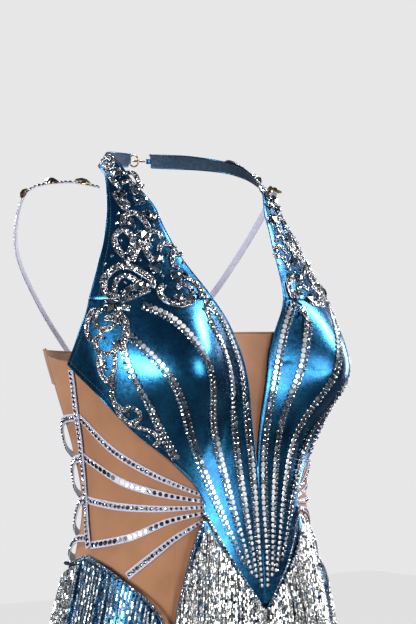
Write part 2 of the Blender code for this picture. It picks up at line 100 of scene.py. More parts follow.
BUST_FORWARD = 0.95
BUST_OUTWARD = 0.18

MESH_LIFT = -0.0010
FOIL_LIFT = 0.0014
FRINGE_LIFT = 0.0058
PAD_LIFT = -0.0062
PAD_THICK = 0.0050


def between(t, low, high, start, end):
    """A smooth curve from low to high with the slopes start and end."""
    return ((2 * t ** 3 - 3 * t * t + 1) * low + (t ** 3 - 2 * t * t + t) * start
            + (3 * t * t - 2 * t ** 3) * high + (t ** 3 - t * t) * end)


def section(z):
    """Half width, front depth, back depth and centre of the torso at heights z."""
    z = np.clip(z, TORSO[0, 0], TORSO[-1, 0])
    i = np.clip(np.searchsorted(TORSO[:, 0], z, side="right") - 1, 0, len(TORSO) - 2)
    low = TORSO[i]
    high = TORSO[i + 1]
    below = TORSO[np.maximum(i - 1, 0)]
    above = TORSO[np.minimum(i + 2, len(TORSO) - 1)]
    span = (high[..., 0] - low[..., 0])[..., None]
    t = (z - low[..., 0])[..., None] / span
    start = (high[..., 1:] - below[..., 1:]) / (high[..., 0] - below[..., 0])[..., None] * span
    end = (above[..., 1:] - low[..., 1:]) / (above[..., 0] - low[..., 0])[..., None] * span
    return between(t, low[..., 1:], high[..., 1:], start, end)


def power(value):
    return np.sign(value) * np.abs(value) ** (2 / SQUARENESS)


def bare(angle, z):
    """Points on the torso itself, with the bust."""
    angle, z = np.broadcast_arrays(np.asarray(angle, float), np.asarray(z, float))
    s = section(z)
    across = np.sin(np.radians(angle))
    ahead = np.cos(np.radians(angle))
    x = s[..., 0] * power(across)
    y = s[..., 3] - np.where(ahead > 0, s[..., 1], s[..., 2]) * power(ahead)
    for side in (-1, 1):
        reach = BUST_RADIUS * np.where(z > BUST_Z, BUST_ABOVE, BUST_BELOW)
        away = ((x - side * BUST_X) / BUST_RADIUS) ** 2 + ((z - BUST_Z) / reach) ** 2
        swell = BUST_HEIGHT * np.exp(-BUST_SHARPNESS * away) * np.clip(4 * ahead, 0, 1)
        y = y - BUST_FORWARD * swell
        x = x + side * BUST_OUTWARD * swell
    return np.stack([x, y, z], -1)


def unit(v):
    return v / np.maximum(np.linalg.norm(v, axis=-1, keepdims=True), 1e-12)


def facing(angle, z):
    """Outward normals of the torso."""
    angle = np.asarray(angle, float)
    z = np.asarray(z, float)
    round_body = bare(angle + 0.5, z) - bare(angle - 0.5, z)
    upward = bare(angle, z + 0.002) - bare(angle, z - 0.002)
    return unit(np.cross(round_body, upward))


def on_body(angle, z, lift=0.0):
    lift = np.asarray(lift, float)
    return bare(angle, z) + facing(angle, z) * (lift[..., None] if lift.ndim else lift)


def along(points, place):
    """Straight-line values at place in a list of (place, value)."""
    p = np.array(sorted(points), float)
    return np.interp(place, p[:, 0], p[:, 1])


def soft(points, place):
    """Smooth values at place in a list of (place, value)."""
    p = np.array(sorted(points), float)
    slope = np.gradient(p[:, 1], p[:, 0])
    place = np.clip(place, p[0, 0], p[-1, 0])
    i = np.clip(np.searchsorted(p[:, 0], place, side="right") - 1, 0, len(p) - 2)
    span = p[i + 1, 0] - p[i, 0]
    return between((place - p[i, 0]) / span, p[i, 1], p[i + 1, 1], slope[i] * span, slope[i + 1] * span)


def route(points, t):
    """Smooth points at shares t of the way through a list of tuples."""
    p = np.array(points, float)
    spans = len(p) - 1
    t = np.clip(np.asarray(t, float), 0, 1) * spans
    i = np.minimum(t.astype(int), spans - 1)
    f = (t - i)[..., None]
    a, b, c, d = (p[np.clip(i + k, 0, spans)] for k in (-1, 0, 1, 2))
    return 0.5 * (2 * b + (c - a) * f + (2 * a - 5 * b + 4 * c - d) * f * f
                  + (3 * b - a - 3 * c + d) * f ** 3)


# --- outlines, as in the frame

STRAP_FOOT = 0.2105
POINT_TIP = -0.098
ARMHOLE = ((0.145, -88.5), (0.164, -82.5), (0.184, -78.0), (0.200, -74.8), (STRAP_FOOT, -73.5))
V_EDGE = ((POINT_TIP, -0.05), (0.040, -0.05), (0.067, -0.9), (0.088, -1.8), (0.118, -3.0), (0.149, -4.6),
          (0.169, -6.8), (0.184, -9.2), (0.200, -12.6), (STRAP_FOOT, -14.9))
POINT_EDGE = ((POINT_TIP, -1.6), (-0.005, -27.5))
LOWER_EDGE = ((0.006, -27.5), (0.026, -32.5), (0.050, -43.5), (0.076, -59.0), (0.104, -72.5),
              (0.145, -88.5))
STRAP_OUTER = ((-73.3, 0.2115), (-67.5, 0.245), (-64.5, 0.275), (-67.0, 0.306), (-78.0, 0.328),
               (-98.0, 0.344), (-130.0, 0.351), (-171.0, 0.353))
STRAP_INNER = ((-14.9, 0.2115), (-22.5, 0.250), (-28.5, 0.281), (-35.5, 0.308), (-55.0, 0.332),
               (-83.0, 0.353), (-130.0, 0.365), (-171.0, 0.367))
HIP_TOP = ((-90.0, -0.050), (-76.0, -0.059), (-66.0, -0.070), (-56.0, -0.083), (-48.0, -0.098),
           (-43.0, -0.115), (-41.1, -0.140))
APRON_EDGE = ((-0.210, 40.5), (-0.150, 39.9), (-0.125, 39.0), (-0.095, 37.8), (-0.068, 36.0),
              (-0.045, 34.0), (-0.025, 31.5), (-0.008, 27.5))
LEG_FRONT = ((0.0, -0.262), (12.5, -0.262), (25.0, -0.238), (40.5, -0.205), (65.0, -0.182),
             (90.0, -0.165))
LEG_BACK = ((90.0, -0.165), (120.0, -0.188), (150.0, -0.232), (166.0, -0.262), (180.0, -0.262))
SEAT_TOP = ((90.0, -0.050), (115.0, -0.064), (140.0, -0.082), (180.0, -0.098))
SEAM = 0.6
MESH_BACK = -108.0
MESH_FRONT = -29.0
OVERLAP = 0.004
BACK_CLOSURE = -176.5
APRON_WIDEST = 40.5
GUSSET_HALF_WIDTH = 0.034

BAND = 0.0078
BAND_END = 0.0036
SIDE_BAND = ((-88.9, 0.139, BAND), (-90.5, 0.115, BAND), (-92.8, 0.089, BAND), (-95.5, 0.063, BAND),
             (-98.5, 0.037, BAND), (-100.8, 0.012, BAND), (-99.0, -0.014, BAND), (-92.0, -0.042, BAND))
FAN_BANDS = (
    ((-88.8, 0.0905, BAND), (-76.0, 0.0615, BAND), (-54.0, 0.0355, 0.0066), (-30.0, 0.0125, BAND_END)),
    ((-93.0, 0.0500, BAND), (-72.0, 0.0270, BAND), (-50.0, 0.0150, 0.0066), (-30.0, 0.0070, BAND_END)),
    ((-96.6, 0.0055, BAND), (-74.0, 0.0010, BAND), (-50.0, 0.0000, 0.0066), (-30.0, 0.0013, BAND_END)),
    ((-88.7, -0.0395, BAND), (-66.0, -0.0290, BAND), (-46.0, -0.0125, 0.0066), (-30.0, -0.0046, BAND_END)),
    ((-63.5, -0.0670, BAND), (-52.0, -0.0455, BAND), (-42.0, -0.0290, 0.0060), (-30.4, -0.0118, BAND_END)),
)
CAGE_HEIGHTS = (0.088, 0.046, 0.003, -0.036)
CAGE_DROPS = (0.036, 0.036, 0.034, 0.022)
CAGE_JOINS = (92.3, 95.0, 98.4, 93.0)

# Centre lines of the stone rows
STONE_ROWS = (
    ((-17.4, 0.203), (-13.8, 0.190), (-10.6, 0.172), (-7.8, 0.147), (-5.8, 0.115), (-4.4, 0.084),
     (-3.0, 0.046), (-2.4, 0.000), (-2.1, -0.040), (-1.4, -0.080)),
    ((-20.5, 0.186), (-17.0, 0.164), (-14.6, 0.138), (-12.6, 0.112), (-11.3, 0.088), (-10.2, 0.062),
     (-9.2, 0.034), (-7.7, 0.002), (-5.6, -0.033), (-3.6, -0.070)),
    ((-47.0, 0.202), (-38.5, 0.191), (-33.0, 0.175), (-29.2, 0.155), (-26.6, 0.132), (-24.2, 0.107),
     (-21.8, 0.082), (-19.3, 0.057), (-16.8, 0.030), (-13.8, 0.001), (-9.6, -0.033), (-5.8, -0.066)),
    ((-54.5, 0.172), (-49.5, 0.156), (-44.8, 0.138), (-40.8, 0.118), (-37.0, 0.099), (-33.5, 0.079),
     (-30.2, 0.058), (-27.4, 0.039), (-24.0, 0.017), (-19.6, -0.006), (-14.0, -0.033), (-9.2, -0.056)),
    ((-57.0, 0.176), (-58.7, 0.159), (-58.8, 0.142), (-56.8, 0.125), (-53.2, 0.108), (-50.0, 0.093),
     (-46.7, 0.078), (-43.0, 0.063), (-40.4, 0.052)),
)

SHOULDER_PATH = ((-0.113, 0.010, 0.324), (-0.142, 0.030, 0.329), (-0.166, 0.064, 0.318),
                 (-0.154, 0.098, 0.264), (-0.114, 0.113, 0.205), (-0.066, 0.1215, 0.150))
SHOULDER_FACING = ((-0.25, -0.1, 1.0), (-0.35, 0.1, 1.0), (-0.7, 0.5, 0.7),
                   (-0.6, 0.9, 0.2), (-0.4, 1.0, 0.0), (-0.3, 1.0, 0.0))
SHOULDER_WIDTH = 0.0070

HEM = -0.335
FRONT_HANG = ((0.0, -40.3, -0.154), (0.10, -38.8, -0.125), (0.22, -36.2, -0.076), (0.36, -27.8, -0.0165),
              (1.0, -0.2, -0.1050))
HIP_HANG = ((0.0, -90.0, -0.054), (0.26, -76.0, -0.063), (0.46, -66.0, -0.074), (0.66, -56.0, -0.087),
            (0.84, -48.0, -0.102), (1.0, -42.0, -0.146))
BACK_HANG = ((0.0, -179.8, -0.104), (0.5, -140.0, -0.088), (1.0, -92.0, -0.058))

NECK_RING_RADIUS = 0.0062
NECK_HEIGHT = 0.360
NECK_Y = 0.0885
BACK_HOOK_Z = 0.141
BACK_HOOK_Y = 0.1268
CLOSURE_REACH = 0.0045
WIRE = 0.0008

# --- materials


class Paint:
    """A Principled material and short ways to wire its nodes."""

    def __init__(self, name, colour, roughness, metallic=0.0, sheen=0.0):
        self.made = bpy.data.materials.new(name)
        self.made.use_nodes = True
        self.nodes = self.made.node_tree.nodes
        self.links = self.made.node_tree.links
        self.shader = self.nodes["Principled BSDF"]
        self.set("Base Color", (*colour, 1.0))
        self.set("Roughness", roughness)
        self.set("Metallic", metallic)
        self.set("Sheen Weight", sheen)
        self.place = self.node("TexCoord", "Object")

    def set(self, socket, value):
        self.shader.inputs[socket].default_value = value

    def feed(self, socket, value):
        self.links.new(value, self.shader.inputs[socket])

    def node(self, kind, output, inputs=(), **settings):
        """A new node's output; inputs are pairs of a socket and its value, colour or link."""
        node = self.nodes.new("ShaderNode" + kind)
        for name, value in settings.items():
            setattr(node, name, value)
        for socket, value in inputs:
            if isinstance(value, bpy.types.NodeSocket):
                self.links.new(value, node.inputs[socket])
            else:
                node.inputs[socket].default_value = (*value, 1.0) if isinstance(value, tuple) else value
        return node.outputs[output]

    def noise(self, scale, detail=2.0):
        return self.node("TexNoise", "Fac", (("Scale", scale), ("Detail", detail), ("Vector", self.place)))

    def wave(self, scale, direction):
        inputs = (("Scale", scale), ("Vector", self.place))
        return self.node("TexWave", "Fac", inputs, bands_direction=direction)

    def attribute(self, name):
        return self.node("Attribute", "Fac", attribute_name=name)

    def ramp(self, value, *stops):
        """Colours at positions of the value."""
        node = self.nodes.new("ShaderNodeValToRGB")
        bar = node.color_ramp.elements
        while len(bar) < len(stops):
            bar.new(0.5)
        for element, (place, colour) in zip(bar, stops):
            element.position = place
            element.color = (*colour, 1.0)
        self.links.new(value, node.inputs["Fac"])
        return node.outputs["Color"]

    def span(self, value, low, high, start=0.0, end=1.0):
        return self.node("MapRange", "Result", (("Value", value), ("From Min", start), ("From Max", end),
                                                ("To Min", low), ("To Max", high)))

    def product(self, first, second):
        return self.node("Math", "Value", ((0, first), (1, second)), operation="MULTIPLY")

    def mix(self, share, first, second):
        return self.node("Mix", 2, ((0, share), (6, first), (7, second)), data_type="RGBA")

    def bump(self, value, strength, distance, before=None):
        chain = (("Normal", before),) if before else ()
        return self.node("Bump", "Normal", (("Height", value), ("Strength", strength),
                                            ("Distance", distance), *chain))

    def wired(self, colour, roughness=None, normal=None):
        """The material, with the shader's main sockets fed."""
        for socket, value in (("Base Color", colour), ("Roughness", roughness), ("Normal", normal)):
            if value:
                self.feed(socket, value)
        return self.made


def foil_paint():
    """Blue foil-coated stretch fabric: a fine crackle, cloudy colour, and a painted highlight: paler cyan in
    patches along the panel edges.
    """
    p = Paint("foil", (0.012, 0.15, 0.34), 0.3, 0.96)
    p.set("Coat Weight", 0.30)
    p.set("Coat Roughness", 0.26)
    colour = p.ramp(p.noise(38.0, 4.0), (0.30, (0.006, 0.085, 0.215)), (0.52, (0.012, 0.150, 0.340)),
                    (0.72, (0.022, 0.225, 0.440)))
    grain = p.noise(1900.0, 2.0)
    colour = p.mix(p.span(grain, 0.0, 0.22, 0.45, 0.75), colour, (0.004, 0.05, 0.14))
    # Painted highlight: paler cyan in patches along the panel edges, where turned edges catch the light.
    painted_edge_highlight = p.product(p.attribute("edge"), p.noise(160.0, 3.0))
    colour = p.mix(p.span(painted_edge_highlight, 0.0, 0.4, 0.35, 0.65), colour, (0.07, 0.33, 0.50))
    roughness = p.span(p.noise(260.0, 3.0), 0.22, 0.33, 0.3, 0.7)
    coarse = p.bump(p.noise(260.0, 2.0), 0.12, 0.0010)
    return p.wired(colour, roughness, p.bump(grain, 0.25, 0.0003, coarse))


def lining_paint():
    """Dark matt knit on the inside of the foil."""
    p = Paint("foil_lining", (0.02, 0.05, 0.10), 0.85, sheen=0.25)
    knit = p.product(p.wave(620.0, "X"), p.wave(620.0, "Z"))
    colour = p.ramp(p.noise(300.0), (0.3, (0.012, 0.035, 0.075)), (0.7, (0.03, 0.07, 0.13)))
    return p.wired(colour, normal=p.bump(knit, 0.4, 0.0003))


def mesh_paint():
    """Skin-coloured stretch mesh with a fine diagonal net."""
    p = Paint("skin_mesh", (0.58, 0.27, 0.115), 0.72, sheen=0.35)
    p.set("Sheen Roughness", 0.4)
    net = p.product(p.wave(520.0, "DIAGONAL"), p.wave(520.0, "Z"))
    colour = p.ramp(p.noise(24.0, 3.0), (0.3, (0.31, 0.136, 0.062)), (0.7, (0.40, 0.190, 0.094)))
    colour = p.mix(p.span(net, 0.22, 0.0), colour, (0.19, 0.075, 0.035))
    return p.wired(colour, p.span(net, 0.80, 0.62), p.bump(net, 0.35, 0.0003))


def elastic_paint():
    """White elastic with a lilac cast, and a fine weave."""
    p = Paint("white_elastic", (0.74, 0.74, 0.86), 0.6, sheen=0.3)
    colour = p.ramp(p.noise(140.0, 3.0), (0.3, (0.46, 0.46, 0.60)), (0.7, (0.58, 0.58, 0.70)))
    colour = p.mix(p.span(p.noise(900.0), 0.0, 0.35, 0.45, 0.7), colour, (0.28, 0.28, 0.42))
    return p.wired(colour, normal=p.bump(p.noise(1500.0, 1.0), 0.5, 0.0004))


def crystal_paint(name, dark, roughness, metal=1.0):
    """Foil-backed stone: each has its own tone, which on mirror discs and cut facets also carries painted
    glints, and fine scratches dull its facets.
    """
    white = (1.0, 1.0, 1.0)
    p = Paint(name, white, roughness, 1.0)
    tone = p.attribute("tone")
    haze = p.noise(420.0, 2.0)
    # Painted reflection: mirror discs with the brightest painted tone turn partly matt white.
    if metal < 1.0:
        p.feed("Metallic", p.span(tone, 1.0, metal, 0.5, 1.0))
    colour = p.mix(p.span(haze, 0.0, 0.18, 0.5, 0.8), p.mix(tone, dark, white), (0.45, 0.56, 0.72))
    return p.wired(colour, p.span(haze, roughness * 0.5, roughness * 1.8, 0.3, 0.7))


def silver_paint():
    p = Paint("silver_setting", (0.72, 0.72, 0.74), 0.3, 1.0)
    wear = p.noise(340.0, 3.0)
    colour = p.ramp(wear, (0.35, (0.26, 0.26, 0.29)), (0.65, (0.56, 0.56, 0.58)))
    return p.wired(colour, p.span(wear, 0.42, 0.20, 0.3, 0.7), p.bump(wear, 0.15, 0.0003))


def gold_paint():
    p = Paint("gold_wire", (0.85, 0.60, 0.26), 0.2, 1.0)
    wear = p.noise(500.0, 3.0)
    colour = p.ramp(wear, (0.35, (0.70, 0.44, 0.16)), (0.65, (0.93, 0.70, 0.36)))
    return p.wired(colour, p.span(wear, 0.32, 0.12, 0.3, 0.7))


def bead_paint():
    """Silver-lined beads, from dark blue-grey to white, each with its own tone."""
    p = Paint("silver_bead", (0.9, 0.9, 0.9), 0.2, 1.0)
    colour = p.ramp(p.attribute("tone"), (0.0, (0.04, 0.09, 0.17)), (0.22, (0.34, 0.37, 0.41)),
                    (0.45, (0.86, 0.86, 0.85)), (1.0, (1.0, 0.99, 0.96)))
    return p.wired(colour, p.span(p.noise(700.0, 2.0), 0.14, 0.34, 0.3, 0.7))


def thread_paint():
    p = Paint("blue_thread", (0.02, 0.10, 0.22), 0.6, sheen=0.4)
    twist = p.wave(1400.0, "DIAGONAL")
    colour = p.ramp(twist, (0.0, (0.012, 0.06, 0.15)), (1.0, (0.04, 0.17, 0.33)))
    return p.wired(colour, normal=p.bump(twist, 0.4, 0.0002))


def pad_paint():
    p = Paint("cup_lining", (0.66, 0.47, 0.36), 0.9, sheen=0.4)
    knit = p.product(p.wave(700.0, "X"), p.wave(700.0, "Z"))
    colour = p.ramp(p.noise(60.0, 4.0), (0.3, (0.58, 0.40, 0.30)), (0.7, (0.74, 0.55, 0.43)))
    return p.wired(colour, normal=p.bump(knit, 0.5, 0.0003))


FOIL = foil_paint()
LINING = lining_paint()
MESH = mesh_paint()
ELASTIC = elastic_paint()
CRYSTAL = crystal_paint("cut_crystal", (0.07, 0.09, 0.13), 0.09)
MIRROR = crystal_paint("mirror_disc", (0.14, 0.15, 0.17), 0.16, 0.30)
SILVER = silver_paint()
GOLD = gold_paint()
BEAD = bead_paint()
THREAD = thread_paint()
PAD = pad_paint()

# --- mesh building


def rim_of(rows, columns):
    """The indices round the edge of a grid of points."""
    return np.concatenate([np.arange(columns), columns - 1 + columns * np.arange(1, rows),
                           columns * (rows - 1) + np.arange(columns - 2, -1, -1),
                           columns * np.arange(rows - 2, 0, -1)])


class Batch:
    """Collects geometry with materials, and makes it one object, on the right or mirrored."""

    def __init__(self):
        self.parts = []
        self.paints = []
        self.count = 0

    def add(self, verts, loops, sizes, paint, tone=0.5, edge=None, smooth=True):
        """verts (n, 3), face loops flat with their sizes; tone is one number or one per face."""
        verts = np.asarray(verts, float).reshape(-1, 3)
        if paint not in self.paints:
            self.paints.append(paint)
        faces = len(sizes)
        self.parts.append((verts, np.asarray(loops) + self.count, np.asarray(sizes),
                           np.full(faces, self.paints.index(paint)),
                           np.broadcast_to(tone, (faces,)).astype(float),
                           np.zeros(len(verts)) if edge is None else np.asarray(edge, float).ravel(),
                           np.full(faces, smooth)))
        self.count += len(verts)

    def grid(self, points, paint, edge=None, flip=False, close_u=False, close_v=False):
        """A grid of points (rows along u, columns along v)."""
        rows, columns = points.shape[:2]
        index = np.arange(rows * columns).reshape(rows, columns)
        if close_u:
            index = np.vstack([index, index[:1]])
        if close_v:
            index = np.hstack([index, index[:, :1]])
        quads = np.stack([index[:-1, :-1], index[1:, :-1], index[1:, 1:], index[:-1, 1:]], -1).reshape(-1, 4)
        if flip:
            quads = quads[:, ::-1]
        self.add(points, quads.ravel(), np.full(len(quads), 4), paint, edge=edge)

    def caps(self, rings, paint, turned):
        """Flat faces over the first and the last ring; turned says which one is wound backwards."""
        loop = np.arange(rings.shape[1])
        for end in (0, -1):
            self.add(rings[end], loop[::-1] if end == turned else loop, [len(loop)], paint)

    def shell(self, base, out, thick, outer, inner):
        """A cloth shell: base points and outward normals; its outer edge is turned over."""
        rows, columns = base.shape[:2]
        u = np.minimum(np.arange(rows), np.arange(rows)[::-1])[:, None]
        v = np.minimum(np.arange(columns), np.arange(columns)[::-1])[None, :]
        rim = np.minimum(u, v) + 0 * base[..., 0]
        height = np.where(rim == 0, 0.35 * thick, thick)
        top = base + out * height[..., None]
        self.grid(top, outer, edge=np.clip(1 - rim / 5.0, 0, 1))
        self.grid(base, inner, flip=True)
        ring = rim_of(rows, columns)
        wall = np.stack([base.reshape(-1, 3)[ring], top.reshape(-1, 3)[ring]], 1)
        self.grid(wall, outer, edge=np.ones(wall.shape[:2]), close_u=True, flip=True)

    def tube(self, points, radius, paint, sides=8, closed=False):
        """A round tube through points (n, 3); radius may be one per point."""
        points = np.asarray(points, float)
        if closed:
            tangent = unit(np.roll(points, -1, 0) - np.roll(points, 1, 0))
        else:
            tangent = unit(np.gradient(points, axis=0))
        side = np.zeros_like(points)
        guess = np.array((0.0, 0.0, 1.0)) if abs(tangent[0, 2]) < 0.8 else np.array((1.0, 0.0, 0.0))
        for i, direction in enumerate(tangent):
            guess = guess - direction * guess.dot(direction)
            guess = guess / np.linalg.norm(guess)
            side[i] = guess
        other = np.cross(tangent, side)
        turn = 2 * math.pi * np.arange(sides) / sides
        radius = np.broadcast_to(radius, (len(points),))[:, None, None]
        ring = side[:, None] * np.cos(turn)[None, :, None] + other[:, None] * np.sin(turn)[None, :, None]
        body = points[:, None] + ring * radius
        self.grid(body, paint, close_u=closed, close_v=True, flip=True)
        if not closed:
            self.caps(body, paint, -1)

    def stones(self, kind, spots, size, twist=0.0, tilt=0.0, tone=None, paints=None, facet_glint=0.0):
        """Copies of a stone on spots; facet_glint is how much the tone of its facets varies at random, painted
        glints.
        """
        verts, faces, which = kind
        place, across, ahead, out = spots
        number = len(place)
        if not number:
            return
        size = np.broadcast_to(size, (number,))
        twist = np.broadcast_to(twist, (number,))
        lean = RNG.normal(0, 1, (number, 2)) * tilt
        out = unit(out + across * lean[:, :1] + ahead * lean[:, 1:])
        across = unit(across - out * (across * out).sum(-1, keepdims=True))
        ahead = np.cross(out, across)
        first = across * np.cos(twist)[:, None] + ahead * np.sin(twist)[:, None]
        second = np.cross(out, first)
        body = (place[:, None] + size[:, None, None] * (verts[None, :, :1] * first[:, None]
                + verts[None, :, 1:2] * second[:, None] + verts[None, :, 2:] * out[:, None]))
        if tone is None:
            tone = RNG.random(number)
        tone = np.broadcast_to(tone, (number,))
        for paint_index, paint in enumerate(paints):
            picked = [face for face, w in zip(faces, which) if w == paint_index]
            if not picked:
                continue
            flat = np.concatenate([np.array(face) for face in picked])
            sizes = np.array([len(face) for face in picked])
            used, flat = np.unique(flat, return_inverse=True)
            loops = (flat.ravel()[None] + len(used) * np.arange(number)[:, None]).ravel()
            shades = np.repeat(tone, len(sizes))
            # Painted glints: each facet's tone is jittered, so some facets are painted bright and some dark.
            if facet_glint:
                shades = np.clip(shades + RNG.normal(0, facet_glint, len(shades)), 0, 1)
            self.add(body[:, used].reshape(-1, 3), loops, np.tile(sizes, number), paint, shades, smooth=False)

    def make(self, name, nodes, body="garment", left=False, ride=True):
        """The object, mirrored if it is a left-hand piece."""
        verts, loops, sizes, slots, tones, edges, smooth = (np.concatenate(part) for part in zip(*self.parts))
        starts = np.concatenate([[0], np.cumsum(sizes)[:-1]])
        if left:
            verts = verts * np.array((-1.0, 1.0, 1.0))
            face = np.repeat(np.arange(len(sizes)), sizes)
            within = np.arange(len(loops)) - starts[face]
            loops = loops[starts[face] + sizes[face] - 1 - within]
        mesh = bpy.data.meshes.new(name + LOOK)
        mesh.vertices.add(len(verts))
        mesh.vertices.foreach_set("co", verts.astype(np.float32).ravel())
        mesh.loops.add(len(loops))
        mesh.loops.foreach_set("vertex_index", loops.astype(np.int32))
        mesh.polygons.add(len(sizes))
        mesh.polygons.foreach_set("loop_start", starts.astype(np.int32))
        for paint in self.paints:
            mesh.materials.append(paint)
        mesh.polygons.foreach_set("material_index", slots.astype(np.int32))
        mesh.polygons.foreach_set("use_smooth", smooth)
        mesh.update(calc_edges=True)
        for attribute, domain, values in (("tone", "FACE", tones), ("edge", "POINT", edges)):
            stored = mesh.attributes.new(attribute, "FLOAT", domain)
            stored.data.foreach_set("value", values.astype(np.float32))
        made = bpy.data.objects.new(name + LOOK, mesh)
        bpy.context.scene.collection.objects.link(made)
        if ride:
            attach(made, body)
        if nodes:
            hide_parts(*nodes)
        return made


def both(name, build):
    """Build once and make the right-hand piece and its mirror."""
    work = Batch()
    build(work)
    return [work.make(f"{name}_{side}", (f"{name}_{side}",), left=side == "left") for side in SIDES]


def single(name, build, body="garment"):
    work = Batch()
    build(work)
    return work.make(name, (name,), body)


# --- stones


def ring_of(count, radius, z):
    a = 2 * math.pi * np.arange(count) / count
    return np.stack([radius * np.cos(a), radius * np.sin(a), np.full(count, z)], -1)


def wall(count, level):
    """The faces between two neighbouring rings of count points."""
    low = level * count
    steps = [(low + i, low + (i + 1) % count) for i in range(count)]
    return [(a, b, b + count, a + count) for a, b in steps]


def faceted(outline, levels, cup=False):
    """A stone cut on an outline: levels are (scale, height); with cup, its first walls are metal."""
    outline = np.asarray(outline, float)
    count = len(outline)
    verts = []
    for number, (scale, z) in enumerate(levels):
        turned = outline if number < 2 + cup else (outline + np.roll(outline, -1, 0)) / 2
        verts.append(np.column_stack([turned * scale, np.full(count, z)]))
    faces = []
    which = []
    for level in range(len(levels) - 1):
        around = wall(count, level)
        if level == 1 + cup:
            around = [face for a, b, d, c in around for face in ((a, b, c), (b, d, c))]
        faces += around
        which += [int(cup and level < 2)] * len(around)
    faces.append(tuple((len(levels) - 1) * count + i for i in range(count)))
    which.append(0)
    return np.concatenate(verts), faces, which


def disc_stone(count=12):
    verts = np.concatenate([ring_of(count, *ring) for ring in ((1.0, 0.0), (1.0, 0.20), (0.84, 0.30))])
    faces = [*wall(count, 0), *wall(count, 1), tuple(2 * count + i for i in range(count))]
    return verts, faces, [0] * len(faces)


def circle(count):
    return ring_of(count, 1.0, 0.0)[:, :2]


CUT = faceted(circle(8), ((1.0, 0.0), (1.0, 0.42), (0.86, 0.50), (0.46, 0.92)), True)
PAVE = faceted(circle(6), ((1.0, 0.0), (1.0, 0.35), (0.48, 0.85)))
DISC = disc_stone()
DOME = faceted(circle(8), ((1.0, 0.0), (0.95, 0.45), (0.45, 0.95)))
SQUARE = faceted(((1, -1), (1, 1), (-1, 1), (-1, -1)),
                 ((1.0, 0.0), (1.0, 0.35), (0.95, 0.45), (0.12, 1.15)), True)
BAGUETTE = faceted(((2.9, -0.62), (2.9, 0.62), (-2.9, 0.62), (-2.9, -0.62)),
                   ((1.0, 0.0), (1.0, 0.45), (0.95, 0.5), (0.62, 1.0)), True)
DROP = faceted(((1.75, 0.0), (0.75, 0.72), (-0.2, 1.0), (-0.95, 0.62), (-1.15, 0.0), (-0.95, -0.62),
                (-0.2, -1.0), (0.75, -0.72)), ((1.0, 0.0), (1.0, 0.35), (0.92, 0.45), (0.35, 1.0)), True)
NAVETTE = faceted(((2.0, 0.0), (1.0, 0.62), (0.0, 0.85), (-1.0, 0.62), (-2.0, 0.0), (-1.0, -0.62),
                   (0.0, -0.85), (1.0, -0.62)), ((1.0, 0.0), (1.0, 0.35), (0.92, 0.45), (0.4, 1.0)), True)


def travelled_along(points):
    """How far each point lies along the path through points."""
    return np.concatenate([[0], np.cumsum(np.linalg.norm(np.diff(points, axis=0), axis=1))])


def paced(points, pitch, start, end):
    """Shares of the way through dense points, evenly spaced in length between both margins."""
    travelled = travelled_along(points)
    room = travelled[-1] - start - end
    if room <= pitch:
        stops = np.array((travelled[-1] / 2,))
    else:
        stops = start + np.linspace(0, room, max(2, int(round(room / pitch)) + 1))
    return np.interp(stops, travelled, np.linspace(0, 1, len(points)))


def spots_on(path, pitch, lift, offset=0.0, start=0.0, end=0.0):
    """Evenly spaced spots along a path of (angle, height[, width]) on the garment."""
    dense = np.linspace(0, 1, 500)
    guide = route(path, dense)
    height = lift if callable(lift) else lambda share: lift + 0 * share
    t = paced(on_body(guide[:, 0], guide[:, 1], height(dense)), pitch, start, end)
    here, ahead, behind = (route(path, np.clip(t + step, 0, 1)) for step in (0, NEARBY, -NEARBY))
    centre, ahead, behind = (on_body(spot[:, 0], spot[:, 1], height(t)) for spot in (here, ahead, behind))
    out = facing(here[:, 0], here[:, 1])
    across = unit(np.cross(out, unit(ahead - behind)))
    return centre + across * offset, across, np.cross(out, across), out


def spots_free(points, faces, pitch, start=0.0, end=0.0):
    """Evenly spaced spots along a path in space that faces the way faces says."""
    t = paced(route(points, np.linspace(0, 1, 400)), pitch, start, end)
    tangent = unit(route(points, np.minimum(t + NEARBY, 1)) - route(points, np.maximum(t - NEARBY, 0)))
    across = unit(np.cross(route(faces, t), tangent))
    out = np.cross(tangent, across)
    return route(points, t), across, np.cross(out, across), out


def ribbon(work, place, across, out, width, paint, rise=0.0012, picot=0.0):
    """A woven band: raised ribbed edges and a flat middle, swept along place."""
    shape = np.array(((-0.50, 0.15), (-0.50, 0.75), (-0.44, 1.0), (-0.34, 0.95), (-0.28, 0.62), (-0.12, 0.60),
                      (0.12, 0.60), (0.28, 0.62), (0.34, 0.95), (0.44, 1.0), (0.50, 0.75), (0.50, 0.15),
                      (0.30, 0.0), (-0.30, 0.0)))
    width = np.broadcast_to(width, (len(place),))
    offset = shape[:, 0][None] * width[:, None]
    beat = np.sin(np.arange(len(place)) * 2 * math.pi / 4)[:, None]
    offset = offset + np.sign(offset) * (np.abs(shape[:, 0]) > 0.4)[None] * beat * picot
    height = shape[:, 1][None] * rise * np.ones_like(offset)
    points = place[:, None] + across[:, None] * offset[..., None] + out[:, None] * height[..., None]
    work.grid(points, paint, close_v=True)
    work.caps(points, paint, 0)


